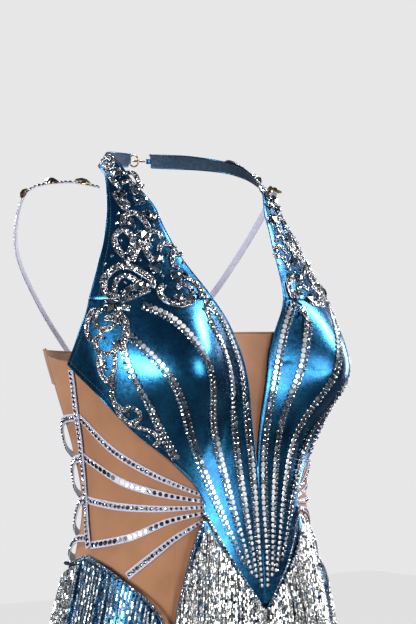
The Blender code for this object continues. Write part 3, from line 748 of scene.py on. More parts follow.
def stitches(work, path, lift, length=0.0022, pitch=0.0034, radius=0.00028):
    """A line of straight stitches."""
    place, across, ahead, out = spots_on(path, pitch, lift)
    turn = 2 * math.pi * np.arange(5) / 5
    ring = across[:, None] * np.cos(turn)[None, :, None] + out[:, None] * np.sin(turn)[None, :, None]
    ends = [place[:, None] + ring * (radius * scale) + (ahead * length * share)[:, None]
            for share, scale in ((-0.5, 0.25), (-0.3, 1.0), (0.3, 1.0), (0.5, 0.25))]
    body = np.stack(ends, 1)
    number = len(place)
    index = np.arange(number * 20).reshape(number, 4, 5)
    index = np.concatenate([index, index[:, :, :1]], 2)
    quads = np.stack([index[:, :-1, :-1], index[:, 1:, :-1], index[:, 1:, 1:], index[:, :-1, 1:]], -1)
    work.add(body.reshape(-1, 3), quads.reshape(-1), np.full(quads.size // 4, 4), THREAD)


def spots_at(places, lift):
    """Spots at (angle, height) places, with across level and ahead upwards."""
    p = np.array(places, float)
    out = facing(p[:, 0], p[:, 1])
    level = bare(p[:, 0] + 0.5, p[:, 1]) - bare(p[:, 0] - 0.5, p[:, 1])
    across = unit(level - out * (level * out).sum(-1, keepdims=True))
    return on_body(p[:, 0], p[:, 1], lift), across, np.cross(out, across), out


def moved(spots, offset=0.0, rise=0.0):
    """The same spots, set off sideways and outwards."""
    place, across, ahead, out = spots
    return place + across * offset + out * rise, across, ahead, out


def drape(work, place, cells, lift, thick, outer, inner, folds=None):
    """A cloth panel from place(u, v), which gives angle and height."""
    u, v = np.meshgrid(np.linspace(0, 1, cells[0] + 1), np.linspace(0, 1, cells[1] + 1), indexing="ij")
    angle, z = place(u, v)
    push = lift + (folds(angle, z) if folds else 0 * angle)
    out = facing(angle, z)
    work.shell(bare(angle, z) + out * push[..., None], out, thick, outer, inner)


def rolled(work, path, radius, paint, lift=FOIL_LIFT, samples=110):
    """The turned or piped edge of a panel, as a thin cord along (angle, height)."""
    guide = route(path, np.linspace(0, 1, samples))
    work.tube(on_body(guide[:, 0], guide[:, 1], lift), radius, paint, sides=7)


# --- bodice and straps

FOIL_THICK = 0.0010
PIPING = 0.00075
SEAM_CORD = 0.0005
STRAP_TUCK = 0.0035
TRIM = 0.0027


def foil_folds(angle, z):
    """Soft waves of stretched foil, gathers under the cup and a dart into it."""
    slow = (0.40 * np.sin(z * 88 + angle * 0.11 + 0.6) + 0.34 * np.sin(angle * 0.21 - z * 64 + 2.0)
            + 0.24 * np.sin(z * 150 - angle * 0.16)) * 0.00042
    under = np.exp(-((z - 0.078) / 0.020) ** 2) * np.exp(-((angle + 38) / 24) ** 4)
    gathers = 0.00048 * under * np.sin(angle * 2 * math.pi / 6.1 + 3 * np.sin(z * 60))
    along_dart = np.clip((-angle - 6) / 22, 0, 1)
    off_dart = (z - (0.146 - 0.010 * along_dart + 0.004 * np.sin(angle * 0.4))) / 0.0020
    dart = -0.00055 * np.exp(-off_dart ** 2)
    return slow + gathers + dart * np.clip((28 + angle) / 8, 0, 1) * np.clip((-angle - 4) / 3, 0, 1)


def bodice_at(u, v):
    z = soft(((0.0, POINT_TIP), (0.35, 0.0), (0.75, 0.145), (1.0, STRAP_FOOT)), v)
    z = np.clip(z, POINT_TIP, STRAP_FOOT)
    outer = np.where(z > 0.145, soft(ARMHOLE, z),
                     np.where(z > 0.006, along(LOWER_EDGE, z), along((*POINT_EDGE, (0.006, -27.5)), z)))
    return outer + (soft(V_EDGE, z) - outer) * u, z


def bodice(work):
    drape(work, bodice_at, (84, 150), FOIL_LIFT, FOIL_THICK, FOIL, LINING, foil_folds)
    mid = FOIL_LIFT + 0.5 * FOIL_THICK
    for edge, inset in ((ARMHOLE, 0.3), (LOWER_EDGE, 0.3), (V_EDGE[1:], -0.15)):
        rolled(work, [(angle + inset, z) for z, angle in edge], PIPING, FOIL, mid)
    top = FOIL_LIFT + FOIL_THICK + 0.0002
    for edge, inset, up in ((ARMHOLE, 2.3, 0.0), (LOWER_EDGE, 2.2, 0.003), (V_EDGE[1:], -1.4, 0.0)):
        stitches(work, [(angle + inset, z + up) for z, angle in edge], top)
    rolled(work, ((-0.5, 0.040), (-0.5, 0.0), (-0.5, -0.050), (-0.4, -0.095)), 0.0004, THREAD, mid)
    dart = ((-29.0, 0.024), (-31.0, 0.050), (-34.0, 0.075), (-37.0, 0.095))
    stitches(work, dart, top - 0.0002, 0.0016, 0.0026)


def strap_at(u, v):
    outer = route(STRAP_OUTER, v)
    inner = route(STRAP_INNER, v)
    angle, z = (outer[..., k] + (inner[..., k] - outer[..., k]) * u for k in (0, 1))
    return angle, z - STRAP_TUCK * np.clip(1 - 8 * v, 0, 1)


def strap_folds(angle, z):
    tuck = -0.0009 * np.clip((STRAP_FOOT + 0.001 - z) / 0.002, 0, 1)
    return (0.5 * np.sin(angle * 0.3 + z * 90) + 0.4 * np.sin(z * 210 - angle * 0.2)) * 0.00018 + tuck


def halter_strap(work):
    drape(work, strap_at, (26, 140), FOIL_LIFT, FOIL_THICK, FOIL, LINING, strap_folds)
    mid = FOIL_LIFT + 0.5 * FOIL_THICK
    for edge, inset in ((STRAP_OUTER, 0.3), (STRAP_INNER, -0.3)):
        rolled(work, [(a + inset, z) for a, z in edge], PIPING, FOIL, mid, 150)
    top = FOIL_LIFT + FOIL_THICK
    share = np.linspace(0, 1, 24)
    for across in (0.09, 0.91):
        a, z = strap_at(np.full(24, across), share)
        stitches(work, np.stack([a, z], -1), top)
    tab = [(x, y, NECK_HEIGHT) for x, y in ((-0.0215, 0.0890), (-0.0150, 0.0905), (-0.0118, 0.0896),
                                            (-0.0116, 0.0877), (-0.0150, 0.0866), (-0.0215, 0.0868))]
    guide = route(tab, np.linspace(0, 1, 40))
    tangent = unit(np.gradient(guide, axis=0))
    upward = np.broadcast_to((0.0, 0.0, 1.0), guide.shape)
    ribbon(work, guide, -upward, unit(np.cross(tangent, -upward)), 0.0052, FOIL, 0.0006)


both("bodice", bodice)
both("halter_strap", halter_strap)

# --- mesh

MESH_THICK = 0.0008
MESH_MID = MESH_LIFT + 0.5 * MESH_THICK


def modesty_at(u, v):
    z = 0.046 + (0.176 - 0.046) * v
    edge = soft(V_EDGE, z) - 2.0
    return edge * (1 - 2 * u), z


def modesty(work):
    drape(work, modesty_at, (30, 70), MESH_LIFT, MESH_THICK, MESH, MESH)
    rolled(work, ((-11.5, 0.1765), (-4.0, 0.1765), (4.0, 0.1765), (11.5, 0.1765)), 0.0008, MESH, MESH_MID)


def side_mesh_at(u, v):
    angle = MESH_BACK + (MESH_FRONT - MESH_BACK) * u
    lower = [(turn, height) for height, turn in LOWER_EDGE]
    top = along(((MESH_BACK, 0.150), *lower), angle) + 0.002
    apron = [(-turn, height) for height, turn in APRON_EDGE]
    hip = along(((MESH_BACK, -0.052), *HIP_TOP), angle)
    foot = np.where(angle < HIP_TOP[-1][0], hip, along(apron, angle)) - OVERLAP
    angle = np.where(angle > MESH_FRONT - 1, MESH_FRONT + 3.0, angle)
    return angle, foot + (top - foot) * v


def mesh_folds(angle, z):
    """Slight drag lines towards the waist corner."""
    turn = np.arctan2((z - 0.006) * 1000, -(angle + 27) * 2.2)
    pull = np.clip((-angle - 30) / 12, 0, 1) * np.clip((angle + 106) / 30, 0, 1)
    return 0.00018 * np.sin(turn * 17) * pull


def side_mesh(work):
    drape(work, side_mesh_at, (90, 44), MESH_LIFT, MESH_THICK, MESH, MESH, mesh_folds)
    rolled(work, [(MESH_BACK, z) for z in (0.146, 0.080, 0.010, -0.052)], 0.0010, MESH, MESH_MID)


def back_band_at(u, v):
    angle = BACK_CLOSURE + (MESH_BACK - SEAM - BACK_CLOSURE) * u
    squeeze = 0.007 * (1 - u)
    low = 0.122 + squeeze
    return angle, low + (0.160 - squeeze - low) * v


def back_band(work):
    drape(work, back_band_at, (60, 18), MESH_LIFT, MESH_THICK, MESH, MESH)
    for v in (0.03, 0.97):
        a, z = back_band_at(np.linspace(0, 1, 30), np.full(30, v))
        rolled(work, np.stack([a, z], -1), 0.0009, MESH, MESH_MID)
    a, z = back_band_at(np.full(12, 0.02), np.linspace(0.04, 0.96, 12))
    stitches(work, np.stack([a, z], -1), 0.0001)


single("modesty_insert", modesty)
both("side_mesh", side_mesh)
both("back_band", back_band)

# --- brief

LEG_DROP = 0.0046


def apron_at(u, v):
    share = 2 * u - 1
    top = POINT_TIP - 0.009 + 0.099 * np.abs(share)
    foot = along(LEG_FRONT, np.abs(share) * APRON_WIDEST)
    rail = along(APRON_EDGE, -0.205 + (0.205 - 0.008) * v)
    return share * rail, foot + (top - foot) * v


def hip_at(u, v):
    angle = -90.0 + (90.0 - APRON_WIDEST - SEAM) * u
    top = along(HIP_TOP, angle)
    foot = soft([(-a, z) for a, z in LEG_FRONT], angle)
    return angle, foot + (top - foot) * v


def seat_at(u, v):
    angle = 90.0 + SEAM + (360 - 2 * (90.0 + SEAM)) * u
    turned = 180 - np.abs(angle - 180)
    foot = along(LEG_BACK, turned)
    return angle, foot + (soft(SEAT_TOP, turned) - foot) * v


def seat_folds(angle, z):
    return foil_folds(angle * 0.5, z) + 0.0003 * np.sin(z * 120 + angle * 0.05)


def seat(work):
    drape(work, seat_at, (150, 50), FOIL_LIFT, FOIL_THICK, FOIL, LINING, seat_folds)
    centre = [(180.0, z) for z in (-0.086, -0.140, -0.200, -0.258)]
    rolled(work, centre, SEAM_CORD, THREAD, FOIL_LIFT + FOIL_THICK)
    turned = np.linspace(91, 269, 60)
    top = soft(SEAT_TOP, 180 - np.abs(turned - 180))
    rolled(work, np.stack([turned, top - 0.0004], -1), 0.0008, FOIL, FOIL_LIFT + 0.0005)


def hip(work):
    drape(work, hip_at, (56, 44), FOIL_LIFT, FOIL_THICK, FOIL, LINING, foil_folds)
    rolled(work, [(-90.4, z) for z in (-0.056, -0.100, -0.163)], SEAM_CORD, THREAD, FOIL_LIFT + FOIL_THICK)
    a, z = hip_at(np.linspace(0.02, 0.98, 40), np.full(40, 0.0))
    stitches(work, np.stack([a, z + 0.004], -1), FOIL_LIFT + FOIL_THICK + 0.0002)


def apron(work):
    drape(work, apron_at, (90, 60), FOIL_LIFT, FOIL_THICK, FOIL, LINING, foil_folds)


def gusset(work):
    front = bare(0, -0.262)[1]
    back = bare(180, -0.262)[1]
    middle = (front + back) / 2
    reach = (back - front) / 2 + FOIL_LIFT
    turn = math.pi * np.linspace(0.02, 0.98, 40)
    path = np.stack([0 * turn, middle + reach * np.cos(turn), -0.2642 - 0.012 * np.sin(turn)], -1)
    out = unit(np.stack([0 * turn, np.cos(turn) * 0.3, -np.sin(turn) - 0.2], -1))
    across = np.linspace(-1, 1, 25)
    base = path[:, None] + across[None, :, None] * np.array((GUSSET_HALF_WIDTH, 0.0, 0.0))
    base = base + out[:, None] * (0.0004 * np.cos(across * 9.0))[None, :, None]
    work.shell(base, np.broadcast_to(out[:, None], base.shape), FOIL_THICK, FOIL, LINING)


def leg_elastic(work):
    points = [on_body(-a, along(LEG_FRONT, a) - LEG_DROP, FOIL_LIFT) for a in (18, 30, 41, 53, 65, 78, 90)]
    points += [on_body(-a, along(LEG_BACK, a) - LEG_DROP, FOIL_LIFT) for a in (104, 120, 135, 150, 160)]
    points += [np.array((-GUSSET_HALF_WIDTH - 0.005, y, z)) for y, z in ((0.058, -0.272), (0.016, -0.278),
                                                                        (-0.026, -0.272))]
    overlapping = np.array([points[-1], *points, *points[:2]])
    guide = route(overlapping, np.linspace(1 / 17, 16 / 17, 900))[:-1]
    ridges = 0.0019 + 0.00022 * np.sin(np.arange(len(guide)) * 2 * math.pi / 5)
    work.tube(guide, ridges, FOIL, sides=8, closed=True)


single("brief_front", apron)
both("hip_panel", hip)
single("seat_panel", seat)
single("gusset", gusset)
both("leg_elastic", leg_elastic)

# --- stone-set elastic bands

SMALL = 0.0023
FLAT = 0.0027
# How much the facets' tones are jittered: painted glints
FACET_GLINT = 0.30
WEAVE = 0.00055
PICOT = 0.00022
CUT_PITCH = 0.0050
FLAT_PITCH = 0.0058
# How far the side bands sit forward and the fan bands run past their ends, in degrees
SIDE_FORWARD = 1.6
FAN_BEFORE = 1.0
FAN_AFTER = 2.2
FLAT_FANS = (2, 4)
# The stones of a shoulder jewel: cut, offset, rise, size, twist
JEWELS = ((NAVETTE, 0, 0.0022, 0.0044, 1.2), (DROP, 0.0046, 0.0016, 0.0028, 0.4))


def set_row(work, spots, kind, size, tilt=0.05, tone=None, facet_glint=FACET_GLINT):
    paints = (MIRROR,) if kind is DISC else (CRYSTAL, SILVER)
    if kind is PAVE or kind is DOME:
        paints = (CRYSTAL,)
    turns = RNG.uniform(0, 2 * math.pi, len(spots[0]))
    # Painted glints on every cut stone's facets, none on the discs.
    work.stones(kind, spots, size, turns, tilt, tone, paints, 0.0 if kind is DISC else facet_glint)


def cage_lift(share):
    """A cage band leaves the side band and stands off the bare back."""
    end = np.minimum(share, 1 - share)
    return 0.0010 + 0.0022 * np.clip(end / 0.10, 0, 1)


def band(work, path, lift, flat=False, rise=0.0012):
    place, across, _, out = spots_on(path, WEAVE, lift)
    t = np.linspace(0, 1, len(place))
    ribbon(work, place, across, out, route(path, t)[:, 2], ELASTIC, rise, PICOT)
    spots = moved(spots_on(path, FLAT_PITCH if flat else CUT_PITCH, lift, 0.0, 0.003, 0.003), 0.0, 0.55 * rise)
    share = np.linspace(0, 1, len(spots[0]))
    widths = np.clip(route(path, share)[:, 2] / BAND, 0.72, 1)
    if flat:
        # Painted highlight: a white flare painted on the discs round the middle of the band.
        flare = 0.9 * np.exp(-((share - 0.42) / 0.13) ** 2)
        tone = np.clip(RNG.uniform(0.0, 0.35, len(share)) + flare, 0, 1)
        set_row(work, spots, DISC, FLAT * widths, 0.03, tone)
    else:
        set_row(work, spots, CUT, SMALL * widths, 0.08)


forward = [(angle + SIDE_FORWARD, z, width) for angle, z, width in SIDE_BAND]
both("side_band", lambda work: band(work, forward, 0.0016))
for number, path in enumerate(FAN_BANDS, start=1):
    first, last = path[0], path[-1]
    path = ((first[0] - FAN_BEFORE, *first[1:]), *path[1:-1], (last[0] + FAN_AFTER, *last[1:]))
    both(f"fan_band_{number}", lambda work, p=path, n=number: band(work, p, 0.0002, n in FLAT_FANS))
for number, (join, height, drop) in enumerate(zip(CAGE_JOINS, CAGE_HEIGHTS, CAGE_DROPS), start=1):
    half = ((join, height + 0.003, BAND), (108.0, height - 0.10 * drop, BAND), (130.0, height - drop, BAND))
    path = (*half, (180.0, height - 1.5 * drop, BAND), *((360.0 - a, z, w) for a, z, w in reversed(half)))
    single(f"cage_band_{number}", lambda work, p=path: band(work, p, cage_lift))


def shoulder_band(work):
    place, across, _, out = spots_free(SHOULDER_PATH, SHOULDER_FACING, WEAVE)
    ribbon(work, place, across, out, SHOULDER_WIDTH, ELASTIC, 0.0011, PICOT)
    spots = spots_free(SHOULDER_PATH, SHOULDER_FACING, 0.0046, 0.003, 0.003)
    set_row(work, moved(spots, 0, 0.0006), CUT, SMALL, 0.08)
    jewels = spots_free(SHOULDER_PATH, SHOULDER_FACING, 0.028, 0.018, 0.212)
    for kind, offset, rise, size, twist in JEWELS:
        work.stones(kind, moved(jewels, offset, rise), size, twist, 0.15, None, (CRYSTAL, GOLD), FACET_GLINT)


both("shoulder_band", shoulder_band)

# --- stones on the foil

# Painted reflection: how bright the mirror discs are painted from the top of a row to its end, where they
# catch the light
PAINTED_GLINT_PLACES = (0.0, 0.15, 0.35, 0.5, 0.65, 1.0)
PAINTED_DISC_GLINT = (0.6, 1.0, 0.35, 0.45, 1.0, 1.0)
PAINTED_ROW_GLINTS = (PAINTED_DISC_GLINT, PAINTED_DISC_GLINT, PAINTED_DISC_GLINT, (0.4, 0.9, 0.15, 0.15, 0.3, 0.6), (0.5, 0.5, 0.5, 0.5, 0.5, 0.5))


def stone_row(path, painted_glint, last):
    """Two lines side by side, crystals and mirror discs with painted glints along the row; all but the last
    row close up at the point.
    """
    def closing(spots):
        return np.interp(np.linspace(0, 1, len(spots[0])), (0.0, 0.7, 1.0), (1.0, 1.0, 1.0 if last else 0.5))

    def build(work):
        cut = spots_on(path, 0.0049, TRIM)
        near = closing(cut)
        # Painted glints: the crystals' facets get slightly jittered tones.
        set_row(work, moved(cut, (-0.0024 * near)[:, None]), CUT, 0.0019 * np.clip(near, 0.7, 1), 0.06,
                RNG.uniform(0.55, 1.0, len(near)), 0.16)
        flat = spots_on(path, 0.0056, TRIM)
        near = closing(flat)
        # Painted reflection: the discs' tone follows the painted glints along the row.
        shades = np.interp(np.linspace(0, 1, len(near)), PAINTED_GLINT_PLACES, painted_glint)
        spots = moved(flat, (0.0022 * near)[:, None], 0.0003)
        set_row(work, spots, DISC, 0.0026 * np.clip(near, 0.65, 1), 0.025,
                np.clip(shades + RNG.normal(0, 0.09, len(near)), 0, 1))
    return build


for number, (path, painted_glint) in enumerate(zip(STONE_ROWS, PAINTED_ROW_GLINTS), start=1):
    both(f"stone_row_{number}", stone_row(path, painted_glint, number == len(STONE_ROWS)))

# Scrolls of small stones: width, then (angle, height) from end to end, in degrees and millimetres
STRAP_SCROLLS = (
    (6.4, ((-106, 351), (-99, 356), (-92, 356), (-86, 350), (-83, 343), (-80, 337))),
    (4.4, ((-96, 349), (-89, 346), (-85, 341))),
    (4.6, ((-76, 334), (-67, 327), (-61, 322))),
    (4.6, ((-65, 338), (-56, 338), (-50, 332), (-47, 326), (-43, 324))),
    (4.4, ((-62, 327), (-56, 330), (-52, 325))),
    (6.4, ((-64, 318), (-58, 310), (-54, 304), (-50, 301))),
    (5.4, ((-53, 284), (-53, 292), (-48, 297), (-44, 295), (-40, 289), (-38, 280))),
    (5.6, ((-52, 252), (-56, 261), (-58, 271), (-54, 279), (-49, 276), (-47, 266), (-50, 254))),
    (4.6, ((-38, 261), (-39, 269), (-37, 277), (-33, 277), (-31, 271))),
    (5.4, ((-42, 268), (-45, 258), (-48, 247))),
    (5.4, ((-42, 266), (-40, 256), (-38, 246))),
    (5.0, ((-34, 257), (-32, 264), (-28, 265), (-25, 260))),
    (4.8, ((-26, 258), (-28, 251), (-28, 243), (-26, 240))),
    (4.0, ((-26, 254), (-22, 255))),
    (6.8, ((-57, 210), (-63, 215), (-64, 227), (-60, 237), (-54, 242), (-48, 240), (-44, 235),
           (-41, 228), (-42, 220))),
    (5.0, ((-59, 216), (-58, 226), (-54, 232), (-50, 231), (-48, 225), (-51, 218))),
    (4.2, ((-57, 206), (-50, 211), (-43, 218))),
    (5.8, ((-36, 223), (-39, 216), (-38, 209), (-35, 204), (-31, 203), (-27, 205))),
    (4.6, ((-31, 219), (-28, 223), (-25, 221), (-24, 214))),
    (6.0, ((-24, 230), (-21, 225), (-19.5, 217), (-19, 210))),
    (4.6, ((-21, 200), (-20, 190), (-18.5, 180), (-17.5, 173))),
)
SIDE_SCROLLS = (
    (5.0, ((-59, 198), (-56, 201), (-53, 200))),
    (4.6, ((-66, 198), (-71, 198), (-74, 189), (-75, 176), (-73, 169), (-69, 171), (-67, 178))),
    (4.8, ((-68, 200), (-70, 191), (-69, 182), (-65, 180), (-61, 184), (-61, 190), (-65, 191))),
    (6.6, ((-60, 198), (-56, 189), (-56, 177), (-58, 166), (-60, 158))),
    (4.6, ((-69, 173), (-71, 164), (-70, 157), (-66, 156), (-62, 160), (-60, 164))),
    (5.0, ((-70, 155), (-72, 145), (-72, 135), (-70, 128))),
    (4.6, ((-63, 156), (-64, 147), (-66, 138), (-68, 131))),
    (5.0, ((-68, 125), (-69, 115), (-68, 105), (-66, 95), (-62, 88), (-58, 84))),
    (4.4, ((-68, 107), (-64, 101), (-61, 106))),
    (4.4, ((-61, 88), (-57, 92), (-57, 99), (-60, 104))),
    (4.4, ((-58, 84), (-53, 81), (-50, 77), (-48, 70), (-50, 64))),
)
# Larger stones by their cut: angle, height, size and turn, in degrees and millimetres
STRAP_GEMS = (
    (SQUARE, ((-70, 336, 3.8, 20), (-58, 315, 4.0, 40), (-54, 306, 3.4, 10), (-38, 295, 3.6, 60),
              (-34, 293, 2.8, 30), (-42, 274, 4.2, 45), (-35, 249, 3.8, 15), (-29, 231, 3.8, 70),
              (-25, 232, 3.2, 25), (-62, 204, 4.4, 35), (-27, 209, 4.0, 50), (-47, 221, 3.4, 5))),
    (DROP, ((-51, 245, 3.4, 70), (-44, 222, 3.6, 20), (-32, 209, 3.2, -40), (-21, 213, 3.0, 60),
            (-88, 349, 2.8, 10))),
    (NAVETTE, ((-53, 216, 4.0, 60), (-49, 288, 2.6, 90), (-73, 340, 2.8, 60))),
    (BAGUETTE, ((-48, 319, 2.4, -35), (-43, 309, 2.4, 20), (-38, 238, 2.4, -35), (-19, 205, 2.2, 35),
                (-20, 197, 2.2, -45))),
)
SIDE_GEMS = (
    (SQUARE, ((-62, 201, 4.4, 30), (-61, 165, 3.2, 20), (-68, 129, 3.2, 35))),
    (DROP, ((-57, 187, 2.8, -80),)),
    (NAVETTE, ((-70, 146, 2.4, 80),)),
)
STRAP_BEADS = ((-57, 296), (-57, 286), (-54, 268), (-35, 284), (-59, 253), (-44, 248), (-30, 254),
               (-59, 221), (-46, 228), (-29, 271), (-76, 344), (-48, 312), (-36, 269), (-35, 232),
               (-46, 283), (-39, 311), (-30, 238), (-53, 226), (-63, 245), (-30, 213), (-23, 246))
SIDE_BEADS = ((-66, 171), (-69, 141), (-54, 202), (-72, 193), (-65, 186), (-62, 96), (-53, 74))


def metres(places):
    """(angle, height in millimetres) places with the height in metres."""
    return [(angle, height / 1000) for angle, height in places]


def turned_spots(spots, turns, away, rise=0.0):
    """The spots moved away from their centres in the direction of turns, in degrees."""
    place, across, ahead, out = spots
    turns = np.radians(turns)[:, None]
    way = across * np.cos(turns) + ahead * np.sin(turns)
    return place + way * away[:, None] + out * rise, across, ahead, out


def applique(work, scrolls, gems, beads):
    """Silver-edged scrolls filled with small stones, larger stones in claws, and loose beads."""
    for width, path in scrolls:
        width = 1.15 * width / 1000
        path = metres(path)
        place, across, _, out = spots_on(path, 0.0009, TRIM)
        ribbon(work, place, across, out, width, SILVER, 0.0010)
        lines = int(round(width / 0.0021))
        for line in range(lines):
            shift = (line - (lines - 1) / 2) * 0.86 * width / lines
            spots = spots_on(path, 0.0021, TRIM + 0.0005, shift, 0.0005 + 0.0009 * (line % 2), 0.0008)
            set_row(work, spots, PAVE, RNG.uniform(0.00095, 0.00120, len(spots[0])), 0.20)
        middle = spots_on(path, 0.0068, TRIM + 0.0011, 0.0, 0.003, 0.003)
        set_row(work, middle, CUT, RNG.uniform(0.0011, 0.0017, len(middle[0])), 0.2)
    for kind, places in gems:
        spots = spots_at(metres([place[:2] for place in places]), TRIM + 0.0014)
        size, turn = np.array([place[2:] for place in places]).T
        size = size / 1000
        # Painted glints: these stones' facets get strongly jittered tones.
        work.stones(kind, spots, size, np.radians(turn), 0.14, 0.6, (CRYSTAL, SILVER), 0.45)
        for halo in range(0, 360, 30):
            around = turned_spots(spots, turn + halo + 15, 1.35 * size + 0.0006, -0.0012)
            set_row(work, around, PAVE, 0.0010, 0.2)
        for corner in (45, 135, 225, 315):
            claws = turned_spots(spots, turn + corner, 1.12 * size)
            work.stones(DOME, claws, 0.0007, 0.0, 0.0, 0.9, (SILVER,))
    set_row(work, spots_at(metres(beads), TRIM), CUT, 0.0017, 0.1)


both("strap_applique", lambda work: applique(work, STRAP_SCROLLS, STRAP_GEMS, STRAP_BEADS))
both("side_scroll", lambda work: applique(work, SIDE_SCROLLS, SIDE_GEMS, SIDE_BEADS))

# --- bead fringe


def hang_points(angle, z, start, flare, lift=FRINGE_LIFT):
    """Points on strands: they follow the body out to the hips, then fall straight."""
    widest = np.maximum(z, -0.200)
    s = section(widest)
    half = s[..., 0]
    front = np.maximum(s[..., 1], section(np.array(-0.060))[1])
    ahead = np.cos(np.radians(angle))
    depth = np.where(ahead > 0, front, s[..., 2])
    x = half * power(np.sin(np.radians(angle)))
    y = s[..., 3] - depth * power(ahead)
    slope = unit(np.stack([x / half ** 2, (y - s[..., 3]) / depth ** 2, 0 * x], -1))
    return np.stack([x, y, z + 0 * x], -1) + slope * (lift + flare * (start - z))[..., None]


def bead_base(roll):
    """A short bugle bead with chamfered ends, lying along y."""
    a = 2 * math.pi * (np.arange(5) + roll) / 5
    rings = [np.stack([radius * np.cos(a), np.full(5, y), -radius * np.sin(a)], -1)
             for y, radius in ((-1.50, 0.62), (-1.15, 1.0), (1.15, 1.0), (1.50, 0.62))]
    faces = [face for level in (0, 1, 2) for face in wall(5, level)]
    return np.concatenate(rings), faces, [0] * len(faces)


BEADS = [bead_base(roll) for roll in (0.0, 0.33, 0.66)]
DULL_SHARE = 0.05


def hanging_line(hang, first, last, count):
    """Angles and heights along the hanging line, between two shares of it."""
    shares, angles, heights = zip(*hang)
    dense = np.linspace(first, last, count)
    return np.interp(dense, shares, angles), np.interp(dense, shares, heights)


def curtain(work, hang, first, last, flare, spacing, radius, layers):
    """Strands of beads from the hanging line between two shares down to the hem."""
    angle, start = hanging_line(hang, first, last, 300)
    level = hang_points(angle, np.full(300, -0.16), np.full(300, -0.10), flare)
    travelled = travelled_along(level)
    number = int(travelled[-1] / spacing)
    pitch = 3.0 * radius * 1.02
    for layer in range(layers):
        at = (np.arange(number) + (0.5 if layer == 0 else 0.98)) * travelled[-1] / number
        at = np.clip(at + RNG.normal(0, 0.10 * spacing, number), 0, travelled[-1])
        strand_angle = np.interp(at, travelled, angle)
        strand_start = np.interp(at, travelled, start)
        foot = HEM + RNG.uniform(0.0, 0.006, number)
        count = ((strand_start - foot) / pitch).astype(int)
        strand = np.repeat(np.arange(number), count)
        step = np.concatenate([np.arange(c) for c in count])
        z = strand_start[strand] - (step + 0.5) * pitch
        sway = RNG.normal(0, 1, (number, 4))[strand]
        down = strand_start[strand] - z
        drift = np.degrees(0.0006 * np.sin(down * 38 + sway[:, 1] * 3) * np.minimum(down / 0.03, 1) / 0.14)
        lift = FRINGE_LIFT + (0.0012 if layer == 0 else -0.0014) + 0.0004 * np.sin(down * 25 + sway[:, 2] * 3)
        ang = strand_angle[strand] + drift
        top = strand_start[strand]
        place, higher, lower, sideways = (hang_points(ang + turn, z + up, top, flare, lift)
                                          for turn, up in ((0, 0), (0, 0.001), (0, -0.001), (0.5, 0)))
        ahead = unit(lower - higher)
        out = unit(np.cross(sideways - place, higher - lower))
        across = np.cross(ahead, out)
        # Painted shade: the inner layer of strands is painted darker than the outer one.
        tone = (0.66 if layer == 0 else 0.40) + RNG.normal(0, 0.12, len(z)) + 0.17 * sway[:, 3]
        tone = np.clip(tone, 0, 1)
        tone = np.where(RNG.random(len(z)) < DULL_SHARE, 0.05, tone)
        size = radius * RNG.uniform(0.93, 1.05, len(z))
        which = RNG.integers(0, 3, len(z))
        for index, base in enumerate(BEADS):
            m = which == index
            work.stones(base, (place[m], across[m], ahead[m], out[m]), size[m], 0.0, 0.05, tone[m], (BEAD,))


def hang_blend(made, hang, first, last, left):
    """Bake the curtain's placement into its mesh; its hanging line is worked out, and mirrored for the left,
    but not used.
    """
    angle, z = hanging_line(hang, first, last, 60)
    line = hang_points(angle, z, z, 0.0)
    if left:
        line = line * np.array((-1.0, 1.0, 1.0))
    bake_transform(made)


# Node, part, hanging line, its first and last share, flare, strand spacing, bead radius, layers, blend reach
CURTAINS = (
    ("fringe_front", "centre", FRONT_HANG, 0.37, 0.995, 0.075, 0.0026, 0.00108, 2, 0.075),
    ("fringe_front", "side", FRONT_HANG, 0.0, 0.36, 0.075, 0.0026, 0.00108, 2, 0.050),
    ("fringe_hip", "all", HIP_HANG, 0.0, 1.0, 0.030, 0.0046, 0.00120, 1, 0.070),
    ("fringe_back", "all", BACK_HANG, 0.004, 0.996, 0.020, 0.0030, 0.00118, 1, 0.100),
)
for node, part, hang, first, last, flare, spacing, radius, layers, reach in CURTAINS:
    work = Batch()
    curtain(work, hang, first, last, flare, spacing, radius, layers)
    for side in SIDES:
        name = f"{node}_{side}" + ("" if part == "all" else f"_{part}")
        made = work.make(name, (f"{node}_{side}",), left=side == "left", ride=False)
        hang_blend(made, hang, first, last, side == "left")


def trims(name, path, lift, size, pitch):
    """A line of cut stones on a tape, over a sewn edge."""
    work = Batch()
    place, across, _, out = spots_on(path, 0.0012, lift)
    ribbon(work, place, across, out, 1.5 * size, THREAD, 0.0006)
    set_row(work, spots_on(path, pitch, lift + 0.0004), CUT, size, 0.12)
    for side in SIDES:
        work.make(f"{name}_{side}", (), left=side == "left")


trims("apron_edge_trim", [(-a + 0.4, z) for z, a in APRON_EDGE[1:]], 0.0066, 0.0015, 0.0034)
trims("hip_edge_trim", [(a, z - 0.002) for a, z in HIP_TOP], 0.0064, 0.0016, 0.0038)
trims("seat_edge_trim", ((-92.0, -0.058), (-120.0, -0.063), (-150.0, -0.073), (-179.5, -0.088)), 0.0064,
      0.0016, 0.0038)
trims("point_edge_trim", [(angle - 0.3, z) for z, angle in reversed(POINT_EDGE)], TRIM, 0.0016, 0.0034)

# --- closures


def arc(centre, radius, start, end, count, plane):
    turn = np.linspace(start, end, count)
    first, second = (np.array(v, float) for v in plane)
    return np.array(centre) + radius * (np.cos(turn)[:, None] * first + np.sin(turn)[:, None] * second)


def neck_ring(work):
    centre = (-NECK_RING_RADIUS - 0.0004, NECK_Y, NECK_HEIGHT)
    loop = arc(centre, NECK_RING_RADIUS, 0, 2 * math.pi, 61, ((1, 0, 0), (0, 0, 1)))[:-1]
    work.tube(loop, WIRE, GOLD, 14, closed=True)


